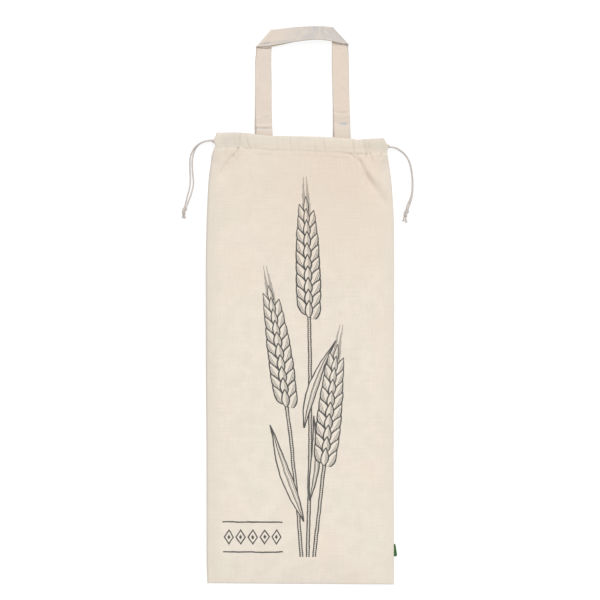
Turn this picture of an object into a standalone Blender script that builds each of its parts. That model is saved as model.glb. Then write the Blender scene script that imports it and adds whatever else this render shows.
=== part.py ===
"""Linen bread bag with a drawstring mouth and two tape handles, lying flat on its back.

The bag lies with its length along Y, mouth and handles towards +Y, and its printed front panel facing up,
towards +Z. The origin is the middle of the whole bag, handles included, on the surface that it lies on.
Every size below is in millimetres, and MM turns it into Blender's metres.
"""

import math
from collections import namedtuple

import bmesh
import bpy
import numpy as np
from mathutils import Matrix, Vector

MM = 0.001

# Cloth, tape and cord
CLOTH = 1.0  # thickness of the linen
TAPE = 1.2  # thickness of the handle tape
CORD = 2.2  # diameter of the drawcord
LABEL = 0.8  # thickness of the folded side label
GAP = 0.3  # air left between pieces that touch
CORD_SIDES = 8

# Hem, which is the casing for the drawcord
HEM_DEPTH = 24.0  # from the top fold down to the row of stitches
CHANNEL = 3.2  # height of the casing around the cord
LAYER_STEP = CLOTH + CHANNEL  # from the middle of one hem layer to the middle of the other
STITCH_STEP = CLOTH + GAP  # the same where the stitches hold the two layers together
HEM_FOLD = 1.5  # radius of the fold along the top edge
HEM_HEIGHT = 2 * CLOTH + CHANNEL  # the whole hem, laid flat

# Heights above the surface
SEAM_Z = CLOTH + GAP + CLOTH / 2  # middle of the front panel where it is sewn to the back
BODY_Z = 9.8  # middle of the front panel over the body of the bag
MOUTH = 6.3  # how far the mouth stands open
MOUTH_CLOSES = 45.0  # distance from the side over which the mouth closes
SIDE_CROWN = 58.0  # distance over which the front panel rises from the side seams
BOTTOM_CROWN = 70.0  # the same from the bottom seam
CROWN_POWER = 2.4
MOUTH_REACH = 95.0  # how far below the stitches the open mouth still lifts the front panel
SLIT_REACH = 24.0  # the same at the side seams, which end in a slit for the cords
GATHER = 1.9  # how far the gathered cloth puffs out over the casing

# Outline of the pouch, bottom to top
Side = namedtuple("Side", "y left right")
SIDES = [
    Side(-446.0, -148.2, 150.3),
    Side(-408.0, -149.3, 150.1),
    Side(-232.0, -149.5, 149.6),
    Side(-72.0, -150.6, 150.2),
    Side(56.0, -150.6, 150.4),
    Side(120.0, -149.5, 150.2),
    Side(152.0, -148.4, 149.3),
    Side(184.0, -146.9, 147.4),
    Side(207.0, -145.0, 145.4),
    Side(223.0, -142.6, 143.2),
    Side(236.0, -141.1, 141.2),
    Side(248.0, -137.0, 139.6),
    Side(252.2, -134.8, 139.2),
    Side(259.5, -138.6, 141.6),
    Side(268.0, -135.4, 136.8),
    Side(273.0, -133.6, 134.6),
]
STITCH_ROW_Y, TOP_ROW_Y = 248.0, 273.0  # the rows between which the outline is that of the hem
BOTTOM_LEFT_Y, BOTTOM_RIGHT_Y = -444.2, -446.2

# The top edge sags a little between its corners and the handles
Edge = namedtuple("Edge", "x y")
TOP_EDGE = [
    Edge(-134.0, 275.2),
    Edge(-105.0, 275.6),
    Edge(-72.0, 273.6),
    Edge(-45.0, 270.6),
    Edge(0.0, 269.9),
    Edge(50.0, 268.4),
    Edge(80.0, 266.2),
    Edge(93.0, 264.6),
    Edge(106.0, 265.6),
    Edge(136.0, 267.2),
]

# Tucks that the drawcord pulls into the hem
Tuck = namedtuple("Tuck", "x depth width")
TUCKS = [
    Tuck(-120.0, 0.5, 6.0),
    Tuck(-96.0, 1.0, 4.0),
    Tuck(-82.0, 0.8, 4.0),
    Tuck(-39.0, 0.5, 4.5),
    Tuck(-16.0, 0.4, 4.0),
    Tuck(-2.0, 0.4, 4.0),
    Tuck(21.0, 0.4, 4.5),
    Tuck(38.0, 0.5, 4.0),
    Tuck(85.0, 0.9, 4.0),
    Tuck(102.0, 1.0, 4.0),
    Tuck(111.0, 0.7, 3.5),
    Tuck(130.0, 0.6, 4.5),
]

# Creases that run from the tucks across the shoulders of the bag. The cloth dips along each line,
# and rises beside it: on the line's left, seen from its start, where ridge is over 0.
Crease = namedtuple("Crease", "line depth ridge width")
CREASES = [
    Crease([(-95, 256), (-105, 237), (-117, 227), (-128, 214), (-138, 198)], 2.2, -0.8, 7.0),
    Crease([(-82, 250), (-94, 230), (-106, 218)], 0.8, -0.4, 6.0),
    Crease([(82, 250), (87, 234), (98, 218), (112, 198), (126, 179), (141, 159)], 2.6, 1.1, 8.0),
    Crease([(105, 252), (108, 236), (113, 220)], 1.1, 0.4, 5.5),
    Crease([(128, 250), (128, 238), (131, 226)], 0.8, 0.3, 5.0),
]

# Rows of the front panel's mesh, from the bottom seam to the stitches
BODY_ROWS = [
    *(-446, -441, -433, -418, -407, -401, -391, -381, -375, -350, -290, -170, -40, 70, 122),
    *(143, 156, 166, 175, 183, 191, 199, 206, 213, 220, 227, 233, 239, 244, 248),
]
BACK_ROWS = [-446, -418, -300, -130, 50, 170, 215, 236, 248]
HEM_ROWS = [0.17, 0.46, 0.8]
BACK_COLUMNS = 16
WIDEST_COLUMN = 15.0

# Side label, sewn into the right-hand seam
LABEL_TOP, LABEL_BOTTOM = -381.5, -401.5
LABEL_IN = 7.0  # how far it runs in between the panels
LABEL_OUT_TOP, LABEL_OUT_BOTTOM = 2.6, 5.4  # how far it stands out of the seam
LABEL_CORNER, LABEL_CHAMFER = 2.0, 1.0  # of its lower and its upper outer corner
LABEL_LIFT = LABEL + GAP  # the seam is thicker by this much around the label
LABEL_SPREAD = 11.0

# Handles: both tapes lie one on the other. Edge 1 is outermost on the legs and lowest on the run between
# them, and edge 2 is the other edge. Heights are the middle of each tape.
Leg = namedtuple("Leg", "y edge1_x edge2_x front_z back_z")
LEFT_LEG = [
    Leg(250.0, -70.0, -43.6, 10.9, 6.1),
    Leg(274.0, -70.1, -43.8, 10.9, 6.1),
    Leg(283.0, -70.4, -44.4, 9.7, 5.4),
    Leg(292.0, -70.8, -44.7, 5.9, 2.9),
    Leg(301.5, -71.2, -45.0, 2.6, 0.8),
    Leg(312.0, -71.6, -45.3, 2.2, 0.6),
    Leg(352.0, -71.8, -45.5, 2.2, 0.6),
    Leg(388.0, -71.7, -46.0, 2.2, 0.6),
]
RIGHT_LEG = [
    Leg(247.0, 80.8, 54.6, 10.9, 6.1),
    Leg(268.0, 80.8, 54.6, 10.9, 6.1),
    Leg(279.0, 80.5, 54.3, 9.9, 5.5),
    Leg(289.0, 80.2, 54.0, 6.2, 3.0),
    Leg(299.0, 79.9, 53.5, 2.7, 0.8),
    Leg(310.0, 79.4, 53.0, 2.2, 0.6),
    Leg(352.0, 78.5, 51.6, 2.2, 0.6),
    Leg(388.0, 78.1, 50.8, 2.2, 0.6),
]
# The tape turns over at the top of each leg, along a slanting fold
Fold = namedtuple("Fold", "edge1_x edge1_y edge2_x edge2_y")
LEFT_FOLD = Fold(-68.2, 411.4, -44.2, 438.4)
RIGHT_FOLD = Fold(75.4, 415.8, 50.4, 442.6)
BACK_FOLD_OUT = 0.95  # the back tape turns over this much further out, round the front one
BACK_FOLD_BULGE = 1.5  # and is pressed flatter than a half circle
FOLD_STEPS = 4
FRONT_RUN_Z, BACK_RUN_Z = 3.9, 5.5  # above the legs, the tape that was underneath is on top
Run = namedtuple("Run", "edge1_x edge1_y edge2_x edge2_y edge1_rise edge2_rise")
RUN = [
    Run(-55.0, 413.8, -34.0, 441.4, 0.6, -0.2),
    Run(-38.0, 416.4, -22.0, 443.0, 2.4, -1.0),
    Run(-4.0, 421.6, 2.0, 445.2, 4.6, -1.4),
    Run(28.0, 424.4, 28.0, 446.2, 4.8, -1.4),
    Run(50.0, 422.2, 40.0, 445.8, 2.6, -0.9),
    Run(64.0, 418.9, 46.0, 444.9, 0.8, -0.2),
]
RUN_PEEK, RUN_PEEK_ENDS = 2.4, 5.0  # the front tape shows this much below the back one, at the run's left
BACK_PEEK = 2.2  # the back handle shows this much past the front one's left edges, at the hem
PEEK_ENDS = 330.0
TAPE_COLUMNS = 3

# Drawcords: each one leaves one side of the hem twice, and runs round the whole casing
LEFT_RUN_DOWN, RIGHT_RUN_DOWN = 11.6, 14.2  # below the top edge
EXIT_OUT = 0.5  # the casing's cord ends this far outside the hem
HEM_END = 140.0  # the distance from the middle at which the top edge is read for a cord's exit
RUN_STEP = 8.0  # between the points of a cord's route in the casing, and outside it
STRAND_STEP = 6.2
CASING_POINTS = 22  # read across a casing for a cord's curve through it
CURVE_STEPS = 12  # to each of the given points of a curve
TURN_STEPS = 6
TURN_OUT = 0.45  # how far out a cord turns from one casing to the other, as a share of a half circle
Point = namedtuple("Point", "x y z")
LEFT_FRONT_STRAND = [
    Point(-146.0, 263.2, 7.9),
    Point(-153.0, 261.8, 6.8),
    Point(-159.6, 259.2, 5.3),
    Point(-164.5, 255.8, 4.1),
    Point(-168.9, 251.2, 3.0),
    Point(-172.5, 245.4, 1.9),
    Point(-174.9, 239.0, 1.3),
    Point(-176.0, 230.8, 1.2),
    Point(-176.2, 222.6, 1.2),
    Point(-175.9, 214.4, 1.2),
    Point(-175.4, 206.4, 1.2),
    Point(-175.4, 198.2, 1.2),
    Point(-176.2, 190.0, 1.2),
    Point(-178.0, 181.8, 1.25),
    Point(-180.2, 174.4, 1.5),
    Point(-182.0, 166.6, 2.0),
]
LEFT_BACK_STRAND = [
    Point(-146.0, 263.2, 2.4),
    Point(-153.0, 261.9, 1.7),
    Point(-159.4, 259.0, 1.2),
    Point(-163.9, 255.2, 1.2),
    Point(-167.4, 250.0, 1.2),
    Point(-170.0, 243.4, 1.2),
    Point(-171.9, 235.0, 1.2),
    Point(-172.4, 226.0, 1.2),
    Point(-172.0, 216.4, 1.2),
    Point(-171.2, 207.4, 1.2),
    Point(-170.4, 199.2, 1.2),
    Point(-170.6, 192.2, 1.2),
    Point(-172.0, 185.0, 1.2),
    Point(-174.0, 177.8, 1.25),
    Point(-176.6, 170.6, 1.4),
    Point(-179.2, 163.8, 2.1),
]
RIGHT_FRONT_STRAND = [
    Point(146.6, 252.9, 7.8),
    Point(152.8, 251.8, 6.2),
    Point(159.6, 248.2, 4.8),
    Point(165.6, 243.6, 3.9),
    Point(170.8, 237.6, 3.7),
    Point(174.4, 231.0, 3.7),
    Point(177.0, 222.8, 3.7),
    Point(178.6, 214.6, 3.7),
    Point(179.6, 206.6, 3.7),
    Point(180.2, 198.4, 3.7),
    Point(180.3, 190.2, 3.7),
    Point(180.0, 182.0, 3.7),
    Point(178.9, 173.8, 3.7),
    Point(177.0, 166.0, 3.4),
    Point(174.6, 159.4, 3.1),
]
RIGHT_BACK_STRAND = [
    Point(146.4, 252.9, 2.4),
    Point(152.6, 251.6, 1.7),
    Point(159.4, 248.0, 1.25),
    Point(165.4, 243.4, 1.2),
    Point(170.5, 237.5, 1.2),
    Point(174.1, 230.8, 1.2),
    Point(176.6, 222.7, 1.2),
    Point(178.2, 214.6, 1.2),
    Point(179.2, 206.6, 1.2),
    Point(179.8, 198.4, 1.2),
    Point(179.8, 190.2, 1.2),
    Point(179.2, 182.2, 1.2),
    Point(177.6, 174.2, 1.2),
    Point(175.0, 167.0, 1.4),
    Point(171.6, 160.2, 2.1),
]

# Knots that tie the two ends of each cord
Knot = namedtuple("Knot", "x y turn tails")
LEFT_KNOT = Knot(-185.1, 151.2, -18.0, [(-187.2, 139.6), (-184.0, 139.0)])
RIGHT_KNOT = Knot(169.3, 147.2, -19.0, [(164.6, 134.0), (169.8, 132.2)])
KNOT_WIDE, KNOT_LONG, KNOT_HIGH = 7.6, 10.0, 6.0
KNOT_Z = KNOT_HIGH / 2 + GAP  # middle of a knot
KNOT_GAP = 0.3  # from the knot's end to the cords' ends, which are cut square
KNOT_BESIDE = 1.3
KNOT_WRAP = 3.1  # radius of the turn round the knot's waist
WRAP_LEAN, WRAP_TURN = 68.0, 20.0  # degrees
WRAP_RAISE = 0.2
TAIL_FLARE = 1.7  # radius of a frayed end
TAIL_RAISE = 0.15
TAIL_NECK = CORD / 2 - 0.1  # radius of a tail where it leaves the knot
TAIL_SHARE = 0.2  # a tail starts this share of the way across to its end
TAIL_IN, TAIL_DROP = 1.5, 0.4  # and this far inside the knot, below its middle

# Colours and finishes
LINEN = (0.83, 0.75, 0.65)
TAPE_COLOUR = (0.78, 0.69, 0.60)
CORD_COLOUR = (0.76, 0.69, 0.64)
LABEL_COLOUR = (0.06, 0.20, 0.06)


def clear_scene():
    """Empties the file."""
    for old in list(bpy.data.objects):
        bpy.data.objects.remove(old, do_unlink=True)


def finish_of(name, colour, roughness):
    """A plain cloth finish."""
    material = bpy.data.materials.new(name)
    material.use_nodes = True
    shader = material.node_tree.nodes["Principled BSDF"]
    shader.inputs["Base Color"].default_value = (*colour, 1)
    shader.inputs["Roughness"].default_value = roughness
    shader.inputs["Metallic"].default_value = 0.0
    return material


def smooth(at, places, values):
    """A smooth curve through the values at rising places, read at one place, with no overshoot."""
    if at <= places[0]:
        return values[0]
    if at >= places[-1]:
        return values[-1]
    i = int(np.searchsorted(places, at)) - 1
    slopes = [(values[k + 1] - values[k]) / (places[k + 1] - places[k]) for k in range(len(places) - 1)]

    def tangent(k):
        if k in (0, len(places) - 1):
            return slopes[min(k, len(slopes) - 1)]
        before, after = slopes[k - 1], slopes[k]
        return 0.0 if before * after <= 0 else 2 * before * after / (before + after)

    step = places[i + 1] - places[i]
    t = (at - places[i]) / step
    return (
        values[i] * (1 + 2 * t) * (1 - t) ** 2
        + tangent(i) * step * t * (1 - t) ** 2
        + values[i + 1] * t * t * (3 - 2 * t)
        + tangent(i + 1) * step * t * t * (t - 1)
    )


def ease(t):
    """0 to 1 with a soft start and end."""
    t = min(max(t, 0.0), 1.0)
    return t * t * (3 - 2 * t)


def mix(a, b, t):
    return a + (b - a) * t


def crown(distance, reach):
    """How far cloth has risen at this distance from a seam, from 0 at the seam to 1 past reach."""
    return 1 - (1 - min(max(distance / reach, 0.0), 1.0)) ** CROWN_POWER


def sides_at(y):
    """The pouch's left and right edge at a height."""
    places = [row.y for row in SIDES]
    return smooth(y, places, [row.left for row in SIDES]), smooth(y, places, [row.right for row in SIDES])


def top_at(x):
    return smooth(x, [row.x for row in TOP_EDGE], [row.y for row in TOP_EDGE])


def bottom_at(x):
    return mix(BOTTOM_LEFT_Y, BOTTOM_RIGHT_Y, (x - SIDES[0].left) / (SIDES[0].right - SIDES[0].left))


def gather_at(x):
    """How far the hem's outer layer puffs out over the casing."""
    tucked = sum(tuck.depth * math.exp(-(((x - tuck.x) / tuck.width) ** 2)) for tuck in TUCKS)
    return GATHER * max(0.0, 1 - tucked)


def crease_at(x, y):
    """How far the creases move the front panel up or down."""
    total = 0.0
    here = Vector((x, y))
    for crease in CREASES:
        points = [Vector(point) for point in crease.line]
        whole = sum((b - a).length for a, b in zip(points, points[1:]))
        best, before = None, 0.0
        for a, b in zip(points, points[1:]):
            along = b - a
            t = min(max((here - a).dot(along) / along.length_squared, 0.0), 1.0)
            away = here - a - t * along
            left = along.x * away.y - along.y * away.x > 0
            if best is None or away.length < best[0]:
                best = (away.length, left, (before + t * along.length) / whole)
            before += along.length
        distance, left, share = best
        fade = ease(share / 0.12) * ease((1 - share) / 0.55)
        side = distance if left else -distance
        dip = crease.depth * math.exp(-((distance / crease.width) ** 2))
        rise = crease.ridge * math.exp(-(((side - 2 * crease.width) / (1.2 * crease.width)) ** 2))
        total += fade * (rise - dip)
    return total


def mouth_lift(x, y):
    """How far the open mouth holds the front hem away from the back one."""
    left, right = sides_at(y)
    return MOUTH * ease(min(x - left, right - x) / MOUTH_CLOSES)


def inner_z(x, y):
    """Middle of the front hem's inner layer."""
    return HEM_HEIGHT + GAP + CLOTH / 2 + mouth_lift(x, y)


def label_lift(x, y):
    """The right-hand seam is lifted where the label is sewn in."""
    middle, half = (LABEL_TOP + LABEL_BOTTOM) / 2, (LABEL_TOP - LABEL_BOTTOM) / 2
    along = ease((half + LABEL_SPREAD - abs(y - middle)) / (LABEL_SPREAD - 1.0))
    return LABEL_LIFT * along * ease((x - sides_at(y)[1] + 3 * LABEL_IN) / (1.5 * LABEL_IN))


def body_z(x, y, stitch_y):
    """Middle of the front panel between the seams and the stitches."""
    left, right = sides_at(y)
    side = min(x - left, right - x)
    risen = crown(side, SIDE_CROWN) * crown(y - bottom_at(x), BOTTOM_CROWN)
    z = mix(SEAM_Z + label_lift(x, y), BODY_Z, risen)
    reach = mix(SLIT_REACH, MOUTH_REACH, ease(side / SIDE_CROWN))
    near_mouth = 1 - ease((stitch_y - y) / reach)
    z = mix(z, inner_z(x, stitch_y) + STITCH_STEP + gather_at(x), near_mouth)
    return z + crease_at(x, y) * ease(side / 10)


def hem_step(share):
    """From one hem layer to the other: close at the stitches, open around the cord, closing at the fold."""
    return smooth(share, [0.0, 0.2, 0.8, 1.0], [STITCH_STEP, LAYER_STEP, LAYER_STEP, 2 * HEM_FOLD])


def hem_profile():
    """The hem's rows, from the stitches up the outer layer, round the fold and down the inner layer.
    Each is (share of the hem's depth, share of the way from the inner layer to the outer one)."""
    outer = [(share, 1.0) for share in HEM_ROWS]
    fold = [(None, angle) for angle in (90, 45, 0, -45, -90)]
    inner = [(share, 0.0) for share in [*reversed(HEM_ROWS), 0.04]]
    return [*outer, *fold, *inner]


def hem_point(u, row, outer_side):
    """A point of a hem's middle surface. outer_side is 1 for the front panel, whose outer layer is the
    upper one, and -1 for the back panel."""
    share, layer = row
    reach = 1.0 if share is None else share
    left, right = sides_at(mix(STITCH_ROW_Y, TOP_ROW_Y, reach))
    x = mix(left, right, u)
    fold_y = top_at(x) - HEM_FOLD - CLOTH / 2
    stitch_y = top_at(x) - HEM_DEPTH
    gathered = gather_at(x) if outer_side > 0 else 0.0
    flat_z = inner_z(x, fold_y) if outer_side > 0 else CLOTH / 2
    if share is None:
        radius = HEM_FOLD + gathered / 2
        angle = math.radians(layer)
        away = radius * math.sin(angle) * outer_side
        middle = radius if outer_side > 0 else HEM_FOLD
        return x, fold_y + HEM_FOLD * math.cos(angle), flat_z + middle + away
    y = mix(stitch_y, fold_y, share)
    step = hem_step(share) + gathered
    upper = layer if outer_side > 0 else 1 - layer
    return x, y, flat_z + step * upper


def front_columns():
    """Places across the front panel, as shares of its width: at each tuck, on each side of it, and
    between."""
    left, right = sides_at(STITCH_ROW_Y)
    wanted = {left, right, left + 2.5, right - 2.5, left + 8.0, right - 8.0}
    for tuck in TUCKS:
        wanted |= {tuck.x - tuck.width, tuck.x, tuck.x + tuck.width}
    places = [x for x in sorted(wanted) if left <= x <= right]
    kept = [places[0]]
    for x in places[1:]:
        if x - kept[-1] < 2.2:
            continue
        extra = int((x - kept[-1]) // WIDEST_COLUMN)
        kept += [mix(kept[-1], x, (k + 1) / (extra + 1)) for k in range(extra)]
        kept.append(x)
    kept[-1] = right
    return [(x - left) / (right - left) for x in kept]


def sheet_object(name, rows, thickness, material):
    """A solid of that thickness round a sheet, which goes through a grid of middle points: a list of rows
    of points."""
    mesh = bpy.data.meshes.new(name)
    bm = bmesh.new()
    bmesh.ops.create_grid(bm, x_segments=len(rows[0]) - 1, y_segments=len(rows) - 1, size=0.5)
    for vertex in bm.verts:
        column = round((vertex.co.x + 0.5) * (len(rows[0]) - 1))
        row = round((vertex.co.y + 0.5) * (len(rows) - 1))
        vertex.co = Vector(rows[row][column]) * MM
    bmesh.ops.recalc_face_normals(bm, faces=bm.faces)
    bm.to_mesh(mesh)
    bm.free()
    mesh.materials.append(material)
    mesh.shade_smooth()
    cloth = bpy.data.objects.new(name, mesh)
    bpy.context.collection.objects.link(cloth)
    solid = cloth.modifiers.new("Thickness", "SOLIDIFY")
    solid.thickness = thickness * MM
    solid.offset = 0.0
    solid.use_even_offset = True
    return cloth


def front_panel(material):
    """The printed front of the pouch, with its hem folded inwards over the drawcord."""
    columns = front_columns()
    rows = []
    for y in BODY_ROWS:
        left, right = sides_at(y)
        share = (y - BODY_ROWS[0]) / (BODY_ROWS[-1] - BODY_ROWS[0])
        row = []
        for u in columns:
            x = mix(left, right, u)
            stitch_y = top_at(x) - HEM_DEPTH
            here = mix(bottom_at(x), stitch_y, share)
            row.append((x, here, body_z(x, here, stitch_y)))
        rows.append(row)
    rows += [[hem_point(u, level, 1) for u in columns] for level in hem_profile()]
    return sheet_object("front_panel", rows, CLOTH, material)


def back_panel(material):
    """The back of the pouch, flat on the surface, with its hem folded inwards too."""
    columns = [k / BACK_COLUMNS for k in range(BACK_COLUMNS + 1)]
    rows = []
    for y in BACK_ROWS:
        left, right = sides_at(y)
        share = (y - BACK_ROWS[0]) / (BACK_ROWS[-1] - BACK_ROWS[0])
        row = []
        for u in columns:
            x = mix(left, right, u)
            row.append((x, mix(bottom_at(x), top_at(x) - HEM_DEPTH, share), CLOTH / 2))
        rows.append(row)
    rows += [[hem_point(u, level, -1) for u in columns] for level in hem_profile()]
    return sheet_object("back_panel", rows, CLOTH, material)


def side_label(material):
    """A small folded label, held in the right-hand seam."""
    seam_top, seam_bottom = sides_at(LABEL_TOP)[1], sides_at(LABEL_BOTTOM)[1]
    corner = [math.radians(angle) for angle in (-90, -45, 0)]
    outline = [
        (seam_top - LABEL_IN, LABEL_TOP),
        (seam_bottom - LABEL_IN, LABEL_BOTTOM),
        *(
            (
                seam_bottom + LABEL_OUT_BOTTOM - LABEL_CORNER * (1 - math.cos(angle)),
                LABEL_BOTTOM + LABEL_CORNER * (1 + math.sin(angle)),
            )
            for angle in corner
        ),
        (seam_top + LABEL_OUT_TOP, LABEL_TOP - LABEL_CHAMFER),
        (seam_top + LABEL_OUT_TOP - LABEL_CHAMFER, LABEL_TOP),
    ]
    low, high = CLOTH + GAP, CLOTH + GAP + LABEL
    bm = bmesh.new()
    corners = [bm.verts.new((x * MM, y * MM, low * MM)) for x, y in outline]
    face = bm.faces.new(corners)
    grown = bmesh.ops.extrude_face_region(bm, geom=[face])["geom"]
    lifted = [item for item in grown if isinstance(item, bmesh.types.BMVert)]
    bmesh.ops.translate(bm, verts=lifted, vec=(0, 0, (high - low) * MM))
    bmesh.ops.recalc_face_normals(bm, faces=bm.faces)
    mesh = bpy.data.meshes.new("side_label")
    bm.to_mesh(mesh)
    bm.free()
    mesh.materials.append(material)
    label = bpy.data.objects.new("side_label", mesh)
    bpy.context.collection.objects.link(label)
    return label


def leg_rows(leg, front):
    """A leg's sections from the hem up: the places of its two edges."""
    rows = []
    for part in leg:
        z = part.front_z if front else part.back_z
        peek = 0.0 if front else -BACK_PEEK * (1 - ease((part.y - leg[1].y) / (PEEK_ENDS - leg[1].y)))
        rows.append(((part.edge1_x + peek, part.y, z), (part.edge2_x + peek, part.y, z)))
    return rows


def fold_rows(fold, leg, front):
    """The sections round a slanting fold, from the leg up to the run. It turns outwards and over."""
    low = leg[-1].front_z if front else leg[-1].back_z
    high = FRONT_RUN_Z if front else BACK_RUN_Z
    radius = (high - low) / 2
    shift, bulge = (0.0, radius) if front else (BACK_FOLD_OUT, BACK_FOLD_BULGE)
    along = Vector((fold.edge2_x - fold.edge1_x, fold.edge2_y - fold.edge1_y)).normalized()
    out = Vector((-along.y, along.x))
    if out.y < 0:
        out = -out
    rows = []
    for k in range(FOLD_STEPS + 1):
        angle = math.pi * k / FOLD_STEPS
        push, z = out * (shift + bulge * math.sin(angle)), low + radius * (1 - math.cos(angle))
        rows.append(
            (
                (fold.edge1_x + push.x, fold.edge1_y + push.y, z),
                (fold.edge2_x + push.x, fold.edge2_y + push.y, z),
            )
        )
    return rows


def handle(name, front, material):
    """One tape: up the left leg, over the fold, along the run, over the other fold and down the right
    leg."""
    run_z = FRONT_RUN_Z if front else BACK_RUN_Z
    run = []
    for part in RUN:
        peek = RUN_PEEK * (1 - ease((part.edge1_x - RUN[0].edge1_x) / (RUN_PEEK_ENDS - RUN[0].edge1_x)))
        down = peek if front else 0.0
        run.append(
            (
                (part.edge1_x, part.edge1_y - down, run_z + part.edge1_rise),
                (part.edge2_x, part.edge2_y - down, run_z + part.edge2_rise),
            )
        )
    sections = [
        *leg_rows(LEFT_LEG, front),
        *fold_rows(LEFT_FOLD, LEFT_LEG, front),
        *run,
        *reversed(fold_rows(RIGHT_FOLD, RIGHT_LEG, front)),
        *reversed(leg_rows(RIGHT_LEG, front)),
    ]
    rows = [
        [tuple(Vector(a).lerp(Vector(b), k / TAPE_COLUMNS)) for k in range(TAPE_COLUMNS + 1)]
        for a, b in sections
    ]
    return sheet_object(name, rows, TAPE, material)


def through(points, spacing):
    """Evenly spaced points on one smooth curve through the given ones."""
    given = [Vector(point) for point in points]
    ends = [2 * given[0] - given[1], *given, 2 * given[-1] - given[-2]]
    fine = []
    for a, b, c, d in zip(ends, ends[1:], ends[2:], ends[3:]):
        for k in range(CURVE_STEPS):
            t = k / CURVE_STEPS
            fine.append(
                0.5
                * (
                    2 * b
                    + (c - a) * t
                    + (2 * a - 5 * b + 4 * c - d) * t * t
                    + (3 * b - a - 3 * c + d) * t**3
                )
            )
    fine.append(given[-1])
    along = np.concatenate([[0.0], np.cumsum([(b - a).length for a, b in zip(fine, fine[1:])])])
    count = max(2, round(along[-1] / spacing) + 1)
    places = np.linspace(0.0, along[-1], count)
    table = np.array([tuple(point) for point in fine])
    return [Vector(np.interp(place, along, table[:, axis]) for axis in range(3)) for place in places]


def cord_object(name, route, material):
    """A round cord along a route."""
    curve = bpy.data.curves.new(name, "CURVE")
    curve.dimensions = "3D"
    curve.bevel_depth = CORD / 2 * MM
    curve.bevel_resolution = CORD_SIDES // 4
    curve.use_fill_caps = True
    spline = curve.splines.new("POLY")
    spline.points.add(len(route) - 1)
    for place, point in zip(spline.points, route):
        place.co = (*(point * MM), 1)
    curve.materials.append(material)
    cord = bpy.data.objects.new(name, curve)
    bpy.context.collection.objects.link(cord)
    return cord


def casing_point(x, down, front):
    """A point on a drawcord's route inside the front or the back casing."""
    y = top_at(x) - down
    return Vector((x, y, inner_z(x, y) + LAYER_STEP / 2 if front else (CLOTH + LAYER_STEP) / 2))


def casing_end(side, down, front):
    """Where a drawcord comes out of a casing. side is -1 at the left and 1 at the right."""
    edge = sides_at(top_at(side * HEM_END) - down)[side > 0]
    return casing_point(edge + side * EXIT_OUT, down, front)


def casing_route(down, side):
    """The hidden part of the drawcord whose ends leave at that side: through the front casing, round the
    slit at the other side, and back through the back casing."""
    runs = []
    for front in (True, False):
        start, end = casing_end(side, down, front), casing_end(-side, down, front)
        inside = [casing_point(x, down, front) for x in np.linspace(start.x, end.x, CASING_POINTS)]
        runs.append(through(inside, RUN_STEP))
    top, low = runs[0][-1], runs[1][-1]
    middle, radius = (top + low) / 2, (top - low).length / 2
    turn = [
        middle + radius * Vector((-side * TURN_OUT * math.sin(angle), 0, math.cos(angle)))
        for angle in (math.pi * k / TURN_STEPS for k in range(1, TURN_STEPS))
    ]
    return [*runs[0], *turn, *reversed(runs[1])]


def strand_route(side, down, front, points, knot, beside):
    """A drawcord's free end, from the casing to its knot. beside is how far it lies from the knot's middle
    line."""
    start, out = casing_end(side, down, front), Vector((side, 0, 0))
    turn = Matrix.Rotation(math.radians(knot.turn), 3, "Z")
    end = Vector((knot.x, knot.y, KNOT_Z)) + turn @ Vector((beside, KNOT_LONG / 2 + KNOT_GAP, 0))
    return through([start + GAP * out, start + (GAP + CORD) * out, *points, end], STRAND_STEP)


def tube_between(bm, a, b, radius_a, radius_b, sides=8):
    """A tapered tube with closed ends, added to a bmesh."""
    a, b = Vector(a) * MM, Vector(b) * MM
    made = bmesh.ops.create_cone(
        bm,
        cap_ends=True,
        cap_tris=False,
        segments=sides,
        radius1=radius_a * MM,
        radius2=radius_b * MM,
        depth=(b - a).length,
    )
    turn = (b - a).to_track_quat("Z", "Y").to_matrix().to_4x4()
    bmesh.ops.transform(bm, matrix=Matrix.Translation((a + b) / 2) @ turn, verts=made["verts"])


def piece_from(bm, name, hidden=True):
    """An object from a bmesh, hidden as a helper or shown."""
    bmesh.ops.recalc_face_normals(bm, faces=bm.faces)
    mesh = bpy.data.meshes.new(name)
    bm.to_mesh(mesh)
    bm.free()
    piece = bpy.data.objects.new(name, mesh)
    bpy.context.collection.objects.link(piece)
    if hidden:
        piece.hide_render = True
        piece.display_type = "WIRE"
    return piece


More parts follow.
